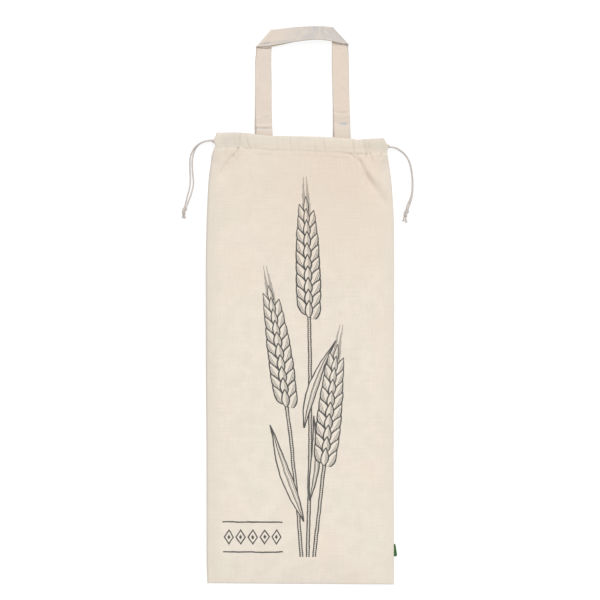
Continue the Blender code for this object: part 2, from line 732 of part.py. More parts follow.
def knot_object(name, knot, material):
    """A knot, as a tight ball with one turn of cord round its waist and two frayed ends."""
    ball = bmesh.new()
    bmesh.ops.create_uvsphere(ball, u_segments=14, v_segments=9, radius=1.0)
    half = Vector((KNOT_WIDE, KNOT_LONG, KNOT_HIGH)) / 2
    bmesh.ops.scale(ball, vec=half * MM, verts=ball.verts)
    turn = Matrix.Rotation(math.radians(knot.turn), 4, "Z")
    place = Matrix.Translation(Vector((knot.x, knot.y, KNOT_Z)) * MM)
    bmesh.ops.transform(ball, matrix=place @ turn, verts=ball.verts)
    body = piece_from(ball, name, hidden=False)
    body.data.materials.append(material)

    wrap = bmesh.new()
    circle = bmesh.ops.create_circle(wrap, segments=8, radius=CORD / 2 * MM)["verts"]
    bmesh.ops.rotate(wrap, verts=circle, matrix=Matrix.Rotation(math.pi / 2, 3, "X"))
    bmesh.ops.translate(wrap, verts=circle, vec=(KNOT_WRAP * MM, 0, 0))
    bmesh.ops.spin(
        wrap,
        geom=[*wrap.verts, *wrap.edges],
        cent=(0, 0, 0),
        axis=(0, 0, 1),
        angle=2 * math.pi,
        steps=16,
        use_merge=True,
    )
    lean = Matrix.Rotation(math.radians(WRAP_LEAN), 4, "X")
    lean = lean @ Matrix.Rotation(math.radians(WRAP_TURN), 4, "Y")
    squash = Matrix.Diagonal((1.0, 1.0, (KNOT_HIGH / 2) / (KNOT_WRAP + CORD / 2), 1.0))
    place = Matrix.Translation(Vector((knot.x, knot.y, KNOT_Z + WRAP_RAISE)) * MM)
    bmesh.ops.transform(wrap, matrix=place @ turn @ squash @ lean, verts=wrap.verts)
    helpers = [piece_from(wrap, name + "_wrap")]
    for k, (x, y) in enumerate(knot.tails):
        tail = bmesh.new()
        start = (mix(knot.x, x, TAIL_SHARE), knot.y - TAIL_IN, KNOT_Z - TAIL_DROP)
        tube_between(tail, start, (x, y, TAIL_FLARE + TAIL_RAISE), TAIL_NECK, TAIL_FLARE)
        helpers.append(piece_from(tail, f"{name}_tail_{k}"))
    for helper in helpers:
        union = body.modifiers.new(helper.name, "BOOLEAN")
        union.operation = "UNION"
        union.solver = "EXACT"
        union.object = helper
    return body


def main():
    clear_scene()
    linen = finish_of("linen", LINEN, 0.9)
    tape = finish_of("tape", TAPE_COLOUR, 0.88)
    twine = finish_of("cord", CORD_COLOUR, 0.85)
    green = finish_of("label", LABEL_COLOUR, 0.8)

    front_panel(linen)
    back_panel(linen)
    side_label(green)
    handle("front_handle", True, tape)
    handle("back_handle", False, tape)

    cord_object("left_cord_casing", casing_route(LEFT_RUN_DOWN, -1), twine)
    cord_object("right_cord_casing", casing_route(RIGHT_RUN_DOWN, 1), twine)
    strands = {
        "left_strand_front": (-1, LEFT_RUN_DOWN, True, LEFT_FRONT_STRAND, LEFT_KNOT, -KNOT_BESIDE),
        "left_strand_back": (-1, LEFT_RUN_DOWN, False, LEFT_BACK_STRAND, LEFT_KNOT, KNOT_BESIDE),
        "right_strand_front": (1, RIGHT_RUN_DOWN, True, RIGHT_FRONT_STRAND, RIGHT_KNOT, KNOT_BESIDE),
        "right_strand_back": (1, RIGHT_RUN_DOWN, False, RIGHT_BACK_STRAND, RIGHT_KNOT, -KNOT_BESIDE),
    }
    for name, facts in strands.items():
        cord_object(name, strand_route(*facts), twine)
    knot_object("left_knot", LEFT_KNOT, twine)
    knot_object("right_knot", RIGHT_KNOT, twine)


main()
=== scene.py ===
"""Dresses the frame of a linen bread bag: its cloth, tapes, drawcords, label, stitches and print.

The bag lies flat on its back. +X runs across it, +Y from its bottom seam to its handles, and +Z up, out of
its printed front. The tables are in millimetres, and MM turns them into Blender's metres."""

import math
import random
from collections import namedtuple

import bmesh
import bpy
import numpy as np
from bpy.props import (
    BoolProperty,
    FloatProperty,
    FloatVectorProperty,
    IntProperty,
    PointerProperty,
)
from mathutils import Matrix, Quaternion, Vector


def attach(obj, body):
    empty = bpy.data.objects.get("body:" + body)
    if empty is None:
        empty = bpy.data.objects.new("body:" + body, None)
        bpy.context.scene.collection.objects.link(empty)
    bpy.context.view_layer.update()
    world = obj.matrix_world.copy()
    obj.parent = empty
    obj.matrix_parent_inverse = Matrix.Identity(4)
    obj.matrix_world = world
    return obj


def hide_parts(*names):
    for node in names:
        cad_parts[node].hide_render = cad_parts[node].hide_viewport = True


bl_info = {
    "name": "Linen Bread Bag",
    "version": (1, 0, 0),
    "blender": (4, 5, 0),
    "location": "3D View > Sidebar > Bread Bag",
    "description": "Dresses the frame of a linen bread bag: cloth, tapes, drawcords, stitches and print",
    "category": "Object",
}

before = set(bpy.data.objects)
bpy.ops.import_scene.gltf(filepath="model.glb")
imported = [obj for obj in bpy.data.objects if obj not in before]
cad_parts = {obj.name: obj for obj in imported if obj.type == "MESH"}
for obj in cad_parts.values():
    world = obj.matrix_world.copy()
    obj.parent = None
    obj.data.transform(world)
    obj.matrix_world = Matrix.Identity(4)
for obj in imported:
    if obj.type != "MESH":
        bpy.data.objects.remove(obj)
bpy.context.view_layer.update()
BODY = "root"
MM = 0.001

# ---------------------------------------------------------------- the bag's shape, in millimetres

GAP = 0.3  # kept between two pieces
CORD = 2.2  # thickness of a drawcord

HEM_DEPTH = 24.0  # from the fold to the row of stitches
CHANNEL = 3.2  # height of the room for the cords
CLOTH_ROOM = 1.0  # the thickness that the frame keeps for the linen
LAYER_STEP = CLOTH_ROOM + CHANNEL
STITCH_STEP = CLOTH_ROOM + GAP
HEM_FOLD = 1.5  # radius of the cloth's turn at the mouth
HEM_PLACES = [0.0, 0.36, 0.8, 1.0]  # from the stitches to the fold, for the steps between the hem's layers
HEM_STEPS = [STITCH_STEP, 0.86 * LAYER_STEP, 0.95 * LAYER_STEP, 2 * HEM_FOLD]
HEM_HEIGHT = 2 * CLOTH_ROOM + CHANNEL

SEAM_Z = CLOTH_ROOM + GAP + CLOTH_ROOM / 2
SEAM_SINK = 0.25  # the sewn edge of the front is pressed down on the back by this much
SEAM_ROLL = 3.0  # over this far from the edge
BODY_Z = 9.8  # how high the middle of the front lies
MOUTH = 6.3  # how far the mouth stands open
MOUTH_CLOSES = 45.0  # over this far from each side
SIDE_CROWN, BOTTOM_CROWN = 58.0, 70.0  # the front rises from its seams over these distances
CROWN_POWER = 2.4
MOUTH_REACH, SLIT_REACH = 95.0, 24.0  # how far below the stitches the mouth lifts the front, and at its sides
FLUTE_REACH = 40.0  # how far the gathers run on below the stitches
FLUTES_FADE = namedtuple("Middle", "x half over least")(0.0, 66.0, 30.0, 0.25)  # they are shorter here
CREASES_FADE, UNEVEN_FADE = 10.0, 30.0  # creases and unevenness fade out over these distances from a seam
GATHER = 1.6  # height of the gathers
GATHER_LEAST = -0.15  # the deepest pleats end here, as a share of it
STITCH_VALLEY = 1.2  # half the width of the groove that the row of stitches pulls into the casing
STITCH_PULL = 0.3
PUFF_PLACES, PUFF = [0.0, 0.5, 0.8, 1.0], [0.5, 1.0, 0.9, 0.75]  # of the gathers, from stitches to fold

Side = namedtuple("Side", "y left right")
SIDES = [
    Side(-446.0, -148.2, 150.3),
    Side(-408.0, -149.3, 150.1),
    Side(-232.0, -149.5, 149.6),
    Side(-72.0, -150.6, 150.2),
    Side(56.0, -150.6, 150.4),
    Side(120.0, -149.5, 150.2),
    Side(152.0, -148.4, 149.3),
    Side(184.0, -146.9, 147.4),
    Side(207.0, -145.0, 145.4),
    Side(223.0, -142.6, 143.2),
    Side(236.0, -141.1, 141.2),
    Side(248.0, -137.0, 139.6),
    Side(252.2, -134.8, 139.2),
    Side(259.5, -138.6, 141.6),
    Side(268.0, -135.4, 136.8),
    Side(273.0, -133.6, 134.6),
]
BOTTOM_LEFT_Y, BOTTOM_RIGHT_Y = -444.2, -446.2
STITCH_ROW_Y, TOP_ROW_Y = 248.0, 273.0  # the rows of SIDES that the hem runs between

Edge = namedtuple("Edge", "x y")
TOP_EDGE = [
    Edge(-134.0, 275.2),
    Edge(-105.0, 275.6),
    Edge(-72.0, 273.6),
    Edge(-45.0, 270.6),
    Edge(0.0, 269.9),
    Edge(50.0, 268.4),
    Edge(80.0, 266.2),
    Edge(93.0, 264.6),
    Edge(106.0, 265.6),
    Edge(136.0, 267.2),
]

# Pleats that the drawcord pulls into the casing, each leaning from its place at the top edge to that at the
# stitches. Depth is a share of the gathers' height.
Pleat = namedtuple("Pleat", "top_x low_x depth width")
PLEAT_POWER = 1.5
PLEAT_WAVER = namedtuple("Waver", "by turns")(0.7, 2.3)
PLEAT_LIP = namedtuple("Lip", "share away")(0.22, 2.6)  # the cloth stands up a little beside a pleat
PLEATS_END = 1.4  # how far down pleats are followed, in depths of the hem
PLEATS = [
    Pleat(-125.0, -121.0, 0.40, 2.6),
    Pleat(-107.5, -104.0, 0.45, 1.7),
    Pleat(-96.8, -99.0, 1.6, 1.5),
    Pleat(-88.5, -80.6, 1.15, 1.4),
    Pleat(-62.0, -64.0, 0.40, 2.6),
    Pleat(-38.0, -37.0, 0.7, 1.5),
    Pleat(-28.5, -29.8, 0.45, 1.8),
    Pleat(-16.8, -16.2, 0.8, 1.3),
    Pleat(-3.0, -4.4, 0.65, 1.8),
    Pleat(9.5, 8.0, 0.40, 2.2),
    Pleat(21.0, 22.4, 0.48, 1.8),
    Pleat(38.2, 38.6, 0.95, 1.4),
    Pleat(62.0, 64.5, 0.40, 2.4),
    Pleat(84.0, 84.9, 1.5, 1.5),
    Pleat(93.5, 92.0, 0.42, 2.0),
    Pleat(101.9, 103.4, 1.9, 1.6),
    Pleat(112.4, 110.2, 1.7, 1.5),
    Pleat(128.0, 130.0, 0.45, 2.4),
]

# Creases that cross the shoulders of the bag: the cloth dips along the line and rises beside it, on the
# line's left, seen from its start, where ridge is over 0. Soft is how gently it fades at its end.
Crease = namedtuple("Crease", "line depth ridge width soft")
CREASE_STARTS = 0.15  # the share of a crease over which it begins
CREASE_WIDENS = namedtuple("Widens", "start more")(0.8, 0.5)
CREASE_POWER = 1.6
CREASE_RIDGE = namedtuple("Ridge", "away wide")(2.1, 1.3)  # in widths of the crease
CREASES = [
    Crease([(-97, 262), (-97.4, 254), (-99.6, 249), (-105, 239), (-109, 233)], 2.2, 0.8, 1.6, 0.25),
    Crease(
        [(-104, 243), (-109, 236), (-115, 228), (-121, 219), (-127, 209), (-134, 198)], 3.4, -1.3, 3.6, 0.4
    ),
    Crease([(-82, 254), (-91, 241), (-102, 229), (-110, 221)], 0.8, -0.4, 2.8, 0.6),
    Crease([(-118, 246), (-124, 236), (-132, 229)], 0.9, 0.3, 2.2, 0.6),
    Crease([(79, 246), (83, 239), (88, 233)], 1.5, 0.9, 1.6, 0.5),
    Crease([(89, 238), (97, 226), (103, 213), (109, 201), (116, 190), (123, 181)], 2.1, 1.5, 3.6, 0.35),
    Crease([(101, 216), (109, 201), (119, 187), (130, 172), (146, 148)], 2.4, 1.6, 6.0, 0.3),
    Crease([(103, 254), (105.4, 243), (106.4, 229)], 1.7, 0.8, 1.8, 0.5),
    Crease([(110, 252), (112, 241), (116, 227), (119, 217)], 1.6, 0.8, 2.0, 0.6),
    Crease([(131, 244), (128.5, 237), (126, 231)], 1.5, 0.6, 1.8, 0.5),
    Crease([(-20, 240), (-24, 214), (-21, 190)], 0.35, 0.2, 8.0, 0.6),
    Crease([(44, 243), (52, 214), (50, 190)], 0.40, 0.2, 7.0, 0.6),
]

# The ends of the handles make a flat raised block behind the hem
Block = namedtuple("Block", "left right low high")
TAPE_BLOCKS = [Block(-69.5, -43.5, 242.0, 290.0), Block(54.0, 81.0, 236.0, 290.0)]
BLOCK_RISE, BLOCK_EDGE = 0.55, 2.5
# Where narrow creases cross the rows, the columns stand as close together as at a pleat
Fine = namedtuple("Fine", "left right")
FINE_COLUMNS = [Fine(-128.0, -94.0), Fine(78.0, 92.0), Fine(102.0, 118.0), Fine(124.0, 133.0)]

LABEL_TOP, LABEL_BOTTOM = -381.5, -401.5
LABEL_IN = 7.0  # how far it goes into the seam
LABEL_OUT_TOP, LABEL_OUT_BOTTOM = 2.6, 5.4  # and how far it shows past the side
LABEL_LIFT = 0.8 + GAP  # of the front, over it
LABEL_SPREAD, LABEL_LEVEL = 11.0, 1.0  # the lift ends this far past the label, and is whole as far as this
LIFT_STARTS, LIFT_OVER = 3 * LABEL_IN, 1.5 * LABEL_IN  # across: from this far in, over this far
LABEL_LOW, LABEL_HIGH = 1.32, 2.08  # the surfaces of the folded label

Leg = namedtuple("Leg", "y edge1_x edge2_x front_z back_z")
LEFT_LEG = [
    Leg(250.0, -70.0, -43.6, 10.9, 6.1),
    Leg(274.0, -70.1, -43.8, 10.9, 6.1),
    Leg(283.0, -70.4, -44.4, 9.7, 5.4),
    Leg(292.0, -70.8, -44.7, 5.9, 2.9),
    Leg(301.5, -71.2, -45.0, 2.6, 0.8),
    Leg(312.0, -71.6, -45.3, 2.2, 0.6),
    Leg(352.0, -71.8, -45.5, 2.2, 0.6),
    Leg(388.0, -71.7, -46.0, 2.2, 0.6),
]
RIGHT_LEG = [
    Leg(247.0, 80.8, 54.6, 10.9, 6.1),
    Leg(268.0, 80.8, 54.6, 10.9, 6.1),
    Leg(279.0, 80.5, 54.3, 9.9, 5.5),
    Leg(289.0, 80.2, 54.0, 6.2, 3.0),
    Leg(299.0, 79.9, 53.5, 2.7, 0.8),
    Leg(310.0, 79.4, 53.0, 2.2, 0.6),
    Leg(352.0, 78.5, 51.6, 2.2, 0.6),
    Leg(388.0, 78.1, 50.8, 2.2, 0.6),
]
Fold = namedtuple("Fold", "edge1_x edge1_y edge2_x edge2_y")
LEFT_FOLD = Fold(-68.2, 411.4, -44.2, 438.4)
RIGHT_FOLD = Fold(75.4, 415.8, 50.4, 442.6)
BACK_FOLD_OUT = 0.95  # the back tape turns this far past the front one
BACK_FOLD_BULGE = 1.5  # and its turn bulges by this much
FOLD_STEPS = 10
FOLD_SLIDE = 0.75  # how far the edges slide along the fold as they turn over it, as a share of the turn
FRONT_RUN_Z, BACK_RUN_Z = 3.9, 5.5
Run = namedtuple("Run", "edge1_x edge1_y edge2_x edge2_y edge1_rise edge2_rise")
RUN = [
    Run(-55.0, 413.8, -34.0, 441.4, 0.6, -0.2),
    Run(-38.0, 416.4, -22.0, 443.0, 2.4, -1.0),
    Run(-4.0, 421.6, 2.0, 445.2, 4.6, -1.4),
    Run(28.0, 424.4, 28.0, 446.2, 4.8, -1.4),
    Run(50.0, 422.2, 40.0, 445.8, 2.6, -0.9),
    Run(64.0, 418.9, 46.0, 444.9, 0.8, -0.2),
]
RUN_PEEK, RUN_PEEK_ENDS = 2.4, 5.0  # the front run lies lower by this much at its left, up to this x
BACK_PEEK = 2.2  # the back legs lie further left by this much at the hem
PEEK_ENDS = 330.0  # up to this y
# Sharp creases across the legs
Dent = namedtuple("Dent", "right y depth width")
DENTS = [
    Dent(False, 282.9, 1.8, 1.7),
    Dent(False, 302.1, 0.45, 1.6),
    Dent(True, 308.5, 0.6, 1.5),
    Dent(True, 290.9, 1.2, 1.6),
]
DENT_POWER = 1.6
DENT_WAVER = 0.05
# A trough along the lower edge of the upper tape's run, at its left: where it lies across, and where it runs
RUN_TROUGH = namedtuple("Trough", "at depth wide starts ends low")(0.2, 0.8, 0.06, -57.0, -26.0, 400.0)
TROUGH_STARTS, TROUGH_ENDS = 6.0, 12.0  # it fades over these distances
CUP = namedtuple("Cup", "height turns")(0.12, 23.0)  # how far a tape's middle arches, now more and now less
TAPE_STEP, LEAST_PACE = 0.9, 0.05
TAPE_COLUMNS = 16

LEFT_RUN_DOWN, RIGHT_RUN_DOWN = 11.6, 14.2  # how far below the top edge each cord runs
EXIT_X, EXIT_OUT = 140.0, 0.5  # where the top edge is read for an exit, and how far past the cloth it lies
TURN_OUT = 0.45  # how far a cord's turn at its far side reaches out, as a share of its radius
TURN_STEPS = 10
RUN_STEPS, RUN_SPACING = 22, 2.2  # of a cord's run in the casing
STRAND_SPACING, KNOT_SPACING, YARN_SPACING = 0.9, 0.7, 1.1
Point = namedtuple("Point", "x y z")
LEFT_FRONT_STRAND = [
    Point(-146.0, 263.2, 7.9),
    Point(-153.0, 261.8, 6.8),
    Point(-159.6, 259.2, 5.3),
    Point(-164.5, 255.8, 4.1),
    Point(-168.9, 251.2, 3.0),
    Point(-172.5, 245.4, 1.9),
    Point(-174.9, 239.0, 1.3),
    Point(-176.0, 230.8, 1.2),
    Point(-176.2, 222.6, 1.2),
    Point(-175.9, 214.4, 1.2),
    Point(-175.4, 206.4, 1.2),
    Point(-175.4, 198.2, 1.2),
    Point(-176.2, 190.0, 1.2),
    Point(-178.0, 181.8, 1.25),
    Point(-180.2, 174.4, 1.5),
    Point(-182.0, 166.6, 2.0),
]
LEFT_BACK_STRAND = [
    Point(-146.0, 263.2, 2.4),
    Point(-153.0, 261.9, 1.7),
    Point(-159.4, 259.0, 1.2),
    Point(-163.9, 255.2, 1.2),
    Point(-167.4, 250.0, 1.2),
    Point(-170.0, 243.4, 1.2),
    Point(-171.9, 235.0, 1.2),
    Point(-172.4, 226.0, 1.2),
    Point(-172.0, 216.4, 1.2),
    Point(-171.2, 207.4, 1.2),
    Point(-170.4, 199.2, 1.2),
    Point(-170.6, 192.2, 1.2),
    Point(-172.0, 185.0, 1.2),
    Point(-174.0, 177.8, 1.25),
    Point(-176.6, 170.6, 1.4),
    Point(-179.2, 163.8, 2.1),
]
RIGHT_FRONT_STRAND = [
    Point(146.6, 252.9, 7.8),
    Point(152.8, 251.8, 6.2),
    Point(159.6, 248.2, 4.8),
    Point(165.6, 243.6, 3.9),
    Point(170.8, 237.6, 3.7),
    Point(174.4, 231.0, 3.7),
    Point(177.0, 222.8, 3.7),
    Point(178.6, 214.6, 3.7),
    Point(179.6, 206.6, 3.7),
    Point(180.2, 198.4, 3.7),
    Point(180.3, 190.2, 3.7),
    Point(180.0, 182.0, 3.7),
    Point(178.9, 173.8, 3.7),
    Point(177.0, 166.0, 3.4),
    Point(174.6, 159.4, 3.1),
]
RIGHT_BACK_STRAND = [
    Point(146.4, 252.9, 2.4),
    Point(152.6, 251.6, 1.7),
    Point(159.4, 248.0, 1.25),
    Point(165.4, 243.4, 1.2),
    Point(170.5, 237.5, 1.2),
    Point(174.1, 230.8, 1.2),
    Point(176.6, 222.7, 1.2),
    Point(178.2, 214.6, 1.2),
    Point(179.2, 206.6, 1.2),
    Point(179.8, 198.4, 1.2),
    Point(179.8, 190.2, 1.2),
    Point(179.2, 182.2, 1.2),
    Point(177.6, 174.2, 1.2),
    Point(175.0, 167.0, 1.4),
    Point(171.6, 160.2, 2.1),
]
Knot = namedtuple("Knot", "x y turn tails")
LEFT_KNOT = Knot(-185.1, 151.2, -18.0, [(-187.2, 139.6), (-184.0, 139.0)])
RIGHT_KNOT = Knot(169.3, 147.2, -19.0, [(164.6, 134.0), (169.8, 132.2)])
KNOT_LONG, KNOT_HIGH = 10.0, 6.0
KNOT_Z = KNOT_HIGH / 2 + GAP
KNOT_GAP = 0.3  # between a knot and the cords that come to it
KNOT_BESIDE = 1.3  # how far each of the two lies from the knot's middle line

# ---------------------------------------------------------------- curves and heights


def smooth(at, places, values):
    """A smooth curve through the values at rising places, read at any array of places, with no overshoot."""
    places, values = np.asarray(places, float), np.asarray(values, float)
    steps = np.diff(places)
    slopes = np.diff(values) / steps
    tangents = np.empty(len(places))
    tangents[0], tangents[-1] = slopes[0], slopes[-1]
    before, after = slopes[:-1], slopes[1:]
    same = before * after > 0
    safe = np.where(same, before + after, 1.0)
    tangents[1:-1] = np.where(same, 2 * before * after / safe, 0.0)
    at = np.clip(at, places[0], places[-1])
    i = np.clip(np.searchsorted(places, at) - 1, 0, len(steps) - 1)
    step, t = steps[i], (at - places[i]) / steps[i]
    return (
        values[i] * (1 + 2 * t) * (1 - t) ** 2
        + tangents[i] * step * t * (1 - t) ** 2
        + values[i + 1] * t * t * (3 - 2 * t)
        + tangents[i + 1] * step * t * t * (t - 1)
    )


def ease(t):
    """0 to 1 with a soft start and end."""
    t = np.clip(t, 0.0, 1.0)
    return t * t * (3 - 2 * t)


def mix(a, b, t):
    return a + (b - a) * t


def crown(distance, reach):
    """How far cloth has risen at this distance from a seam: 0 at the seam, 1 past reach."""
    return 1 - (1 - np.clip(distance / reach, 0.0, 1.0)) ** CROWN_POWER


def sides_at(y):
    places = [row.y for row in SIDES]
    return smooth(y, places, [row.left for row in SIDES]), smooth(y, places, [row.right for row in SIDES])


def top_at(x):
    return smooth(x, [row.x for row in TOP_EDGE], [row.y for row in TOP_EDGE])


def bottom_at(x):
    return mix(BOTTOM_LEFT_Y, BOTTOM_RIGHT_Y, (x - SIDES[0].left) / (SIDES[0].right - SIDES[0].left))


def gather_at(x, y):
    """How far the gathered cloth puffs out, less its pleats."""
    down = np.clip((top_at(x) - y) / HEM_DEPTH, 0.0, PLEATS_END)
    tucked = 0.0
    for pleat in PLEATS:
        waver = PLEAT_WAVER.by * np.sin(PLEAT_WAVER.turns * down + pleat.top_x)
        away = (x - mix(pleat.top_x, pleat.low_x, down) + waver) / pleat.width
        tucked = tucked + pleat.depth * np.exp(-(np.abs(away) ** PLEAT_POWER))
        tucked = tucked - PLEAT_LIP.share * pleat.depth * np.exp(-((away - PLEAT_LIP.away) ** 2))
    return GATHER * np.maximum(1 - tucked, GATHER_LEAST)


def crease_at(x, y):
    """How far the creases lift or sink the front panel."""
    total = np.zeros(np.broadcast(x, y).shape)
    for crease in CREASES:
        points = np.array(crease.line, float)
        spans = np.diff(points, axis=0)
        lengths = np.hypot(spans[:, 0], spans[:, 1])
        starts = running(lengths)
        nearest = np.full(total.shape, np.inf)
        side = np.zeros(total.shape)
        share = np.zeros(total.shape)
        for (ax, ay), (dx, dy), length, start in zip(points, spans, lengths, starts):
            t = np.clip(((x - ax) * dx + (y - ay) * dy) / length**2, 0.0, 1.0)
            away_x, away_y = x - ax - t * dx, y - ay - t * dy
            distance = np.hypot(away_x, away_y)
            closer = distance < nearest
            nearest = np.where(closer, distance, nearest)
            side = np.where(closer, np.sign(dx * away_y - dy * away_x), side)
            share = np.where(closer, (start + t * length) / starts[-1], share)
        fade = ease(share / CREASE_STARTS) * ease((1 - share) / crease.soft)
        width = crease.width * (CREASE_WIDENS.start + CREASE_WIDENS.more * share)
        dip = crease.depth * np.exp(-((nearest / width) ** CREASE_POWER))
        beside = (side * nearest - CREASE_RIDGE.away * width) / (CREASE_RIDGE.wide * width)
        rise = crease.ridge * np.exp(-(beside**2))
        total += fade * (rise - dip)
    return total


def unevenness(x, y):
    """The slow rise and fall of cloth that was folded, washed and laid out."""
    return (
        0.35 * np.sin(x / 34 + 1.1 * np.sin(y / 71)) * np.sin(y / 58 + 0.7)
        + 0.22 * np.sin(x / 17 - y / 43 + 2.0) * np.sin(y / 29 + x / 61)
        + 0.10 * np.sin(x / 7.3 + 0.8 * np.sin(y / 13)) * np.sin(y / 11.0 + 1.3 * np.sin(x / 19))
    )


def mouth_lift(x, y):
    left, right = sides_at(y)
    return MOUTH * ease(np.minimum(x - left, right - x) / MOUTH_CLOSES)


def inner_z(x, y):
    """Middle of the front hem's inner layer."""
    return HEM_HEIGHT + GAP + CLOTH_ROOM / 2 + mouth_lift(x, y)


def label_lift(x, y):
    middle, half = (LABEL_TOP + LABEL_BOTTOM) / 2, (LABEL_TOP - LABEL_BOTTOM) / 2
    along = ease((half + LABEL_SPREAD - np.abs(y - middle)) / (LABEL_SPREAD - LABEL_LEVEL))
    return LABEL_LIFT * along * ease((x - sides_at(y)[1] + LIFT_STARTS) / LIFT_OVER)


def block_rise(x, y):
    """The flat blocks that the ends of the handles make behind the hem."""
    total = 0.0
    for block in TAPE_BLOCKS:
        across = ease((x - block.left) / BLOCK_EDGE + 0.5) * ease((block.right - x) / BLOCK_EDGE + 0.5)
        total = total + BLOCK_RISE * across * ease((y - block.low) / BLOCK_EDGE + 0.5)
    return total


def stitch_groove(away):
    """1 on the row of stitches, fading to 0 beside it."""
    return np.exp(-((away / STITCH_VALLEY) ** 2))


def body_z(x, y, stitch_y):
    """Middle of the front panel between the seams and the stitches."""
    left, right = sides_at(y)
    side = np.minimum(x - left, right - x)
    risen = crown(side, SIDE_CROWN) * crown(y - bottom_at(x), BOTTOM_CROWN)
    edge = np.minimum(side, y - bottom_at(x))
    seam = SEAM_Z - SEAM_SINK * ease(1 - edge / SEAM_ROLL)
    z = mix(seam + label_lift(x, y), BODY_Z, risen)
    reach = mix(SLIT_REACH, MOUTH_REACH, ease(side / SIDE_CROWN))
    near_mouth = 1 - ease((stitch_y - y) / reach)
    z = mix(z, inner_z(x, stitch_y) + STITCH_STEP, near_mouth)
    past_middle = ease((np.abs(x - FLUTES_FADE.x) - FLUTES_FADE.half) / FLUTES_FADE.over)
    reach = FLUTE_REACH * mix(FLUTES_FADE.least, 1.0, past_middle)
    flutes = PUFF[0] * gather_at(x, y) * (1 - ease((stitch_y - y) / reach)) * near_mouth
    flutes = flutes - STITCH_PULL * stitch_groove(stitch_y - y)
    relief = crease_at(x, y) + unevenness(x, y) * ease(side / UNEVEN_FADE) + block_rise(x, y)
    return z + flutes + relief * ease(side / CREASES_FADE)


def hem_step(share):
    """From one hem layer to the other: close at the stitches, open around the cord, closing at the fold."""
    return smooth(share, HEM_PLACES, HEM_STEPS)


# ---------------------------------------------------------------- meshes

CURVE_STEPS = 12  # between two given points of a curve
SIDES_A_PLY = 5
PLY_SWELL, PLY_GROOVE = 1.04, 0.24  # a rope's radius on a ply, and how far it sinks between two, as shares
WELD = 1e-7


def finish_object(obj, nodes):
    """Puts a finished piece in the scene, on the bag's body, in place of its CAD nodes."""
    bpy.context.scene.collection.objects.link(obj)
    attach(obj, BODY)
    if nodes:
        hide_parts(*nodes)
    return obj


def object_from(bm, name, material):
    """A smooth-shaded object from a bmesh. Its place is in its mesh, so the object itself isn't moved."""
    mesh = bpy.data.meshes.new(name)
    bm.to_mesh(mesh)
    bm.free()
    mesh.materials.append(material)
    mesh.shade_smooth()
    return bpy.data.objects.new(name, mesh)


def grid_on(bm, columns, rows):
    """Adds a grid to a bmesh: (each vertex, its column, its row)."""
    made = bmesh.ops.create_grid(bm, x_segments=columns, y_segments=rows, size=0.5)["verts"]
    return [(v, round((v.co.x + 0.5) * columns), round((v.co.y + 0.5) * rows)) for v in made]


def sheet_from(name, points, flat, thickness, material):
    """Cloth through a grid of middle points (rows, columns, 3) in millimetres. flat gives each point's place
    on the uncut cloth, in millimetres, for the weave."""
    rows, columns = points.shape[:2]
    bm = bmesh.new()
    grid = grid_on(bm, columns - 1, rows - 1)
    uv = bm.loops.layers.uv.new("cloth")
    for vertex, column, row in grid:
        vertex.co = points[row, column] * MM
        for loop in vertex.link_loops:
            loop[uv].uv = flat[row, column] * MM
    bmesh.ops.recalc_face_normals(bm, faces=bm.faces)
    cloth = object_from(bm, name, material)
    solid = cloth.modifiers.new("Thickness", "SOLIDIFY")
    solid.thickness = thickness
    solid.offset = 0.0
    return cloth


def through(points, spacing):
    """Evenly spaced points on one smooth curve through the given ones."""
    given = [Vector(point) for point in points]
    ends = [2 * given[0] - given[1], *given, 2 * given[-1] - given[-2]]
    fine = []
    for a, b, c, d in zip(ends, ends[1:], ends[2:], ends[3:]):
        for k in range(CURVE_STEPS):
            t = k / CURVE_STEPS
            square, cube = 2 * a - 5 * b + 4 * c - d, 3 * b - a - 3 * c + d
            fine.append(0.5 * (2 * b + (c - a) * t + square * t * t + cube * t**3))
    fine.append(given[-1])
    along = distances(fine)
    count = max(2, round(along[-1] / spacing) + 1)
    places = np.linspace(0.0, along[-1], count)
    table = np.array([tuple(point) for point in fine])
    return [Vector(np.interp(place, along, table[:, axis]) for axis in range(3)) for place in places]


def running(lengths):
    """Where each point lies along a path whose steps have these lengths."""
    return np.concatenate([[0.0], np.cumsum(lengths)])


def distances(points):
    return running([(b - a).length for a, b in zip(points, points[1:])])


def frames_along(points):
    """A turning frame at each point of a path: its direction, and one across it that never flips."""
    tangents = []
    for k in range(len(points)):
        ahead, behind = points[min(k + 1, len(points) - 1)], points[max(k - 1, 0)]
        tangents.append((ahead - behind).normalized())
    across = tangents[0].orthogonal().normalized()
    frames = []
    previous = tangents[0]
    for tangent in tangents:
        across = previous.rotation_difference(tangent) @ across
        across = (across - across.dot(tangent) * tangent).normalized()
        frames.append((tangent, across))
        previous = tangent
    return frames


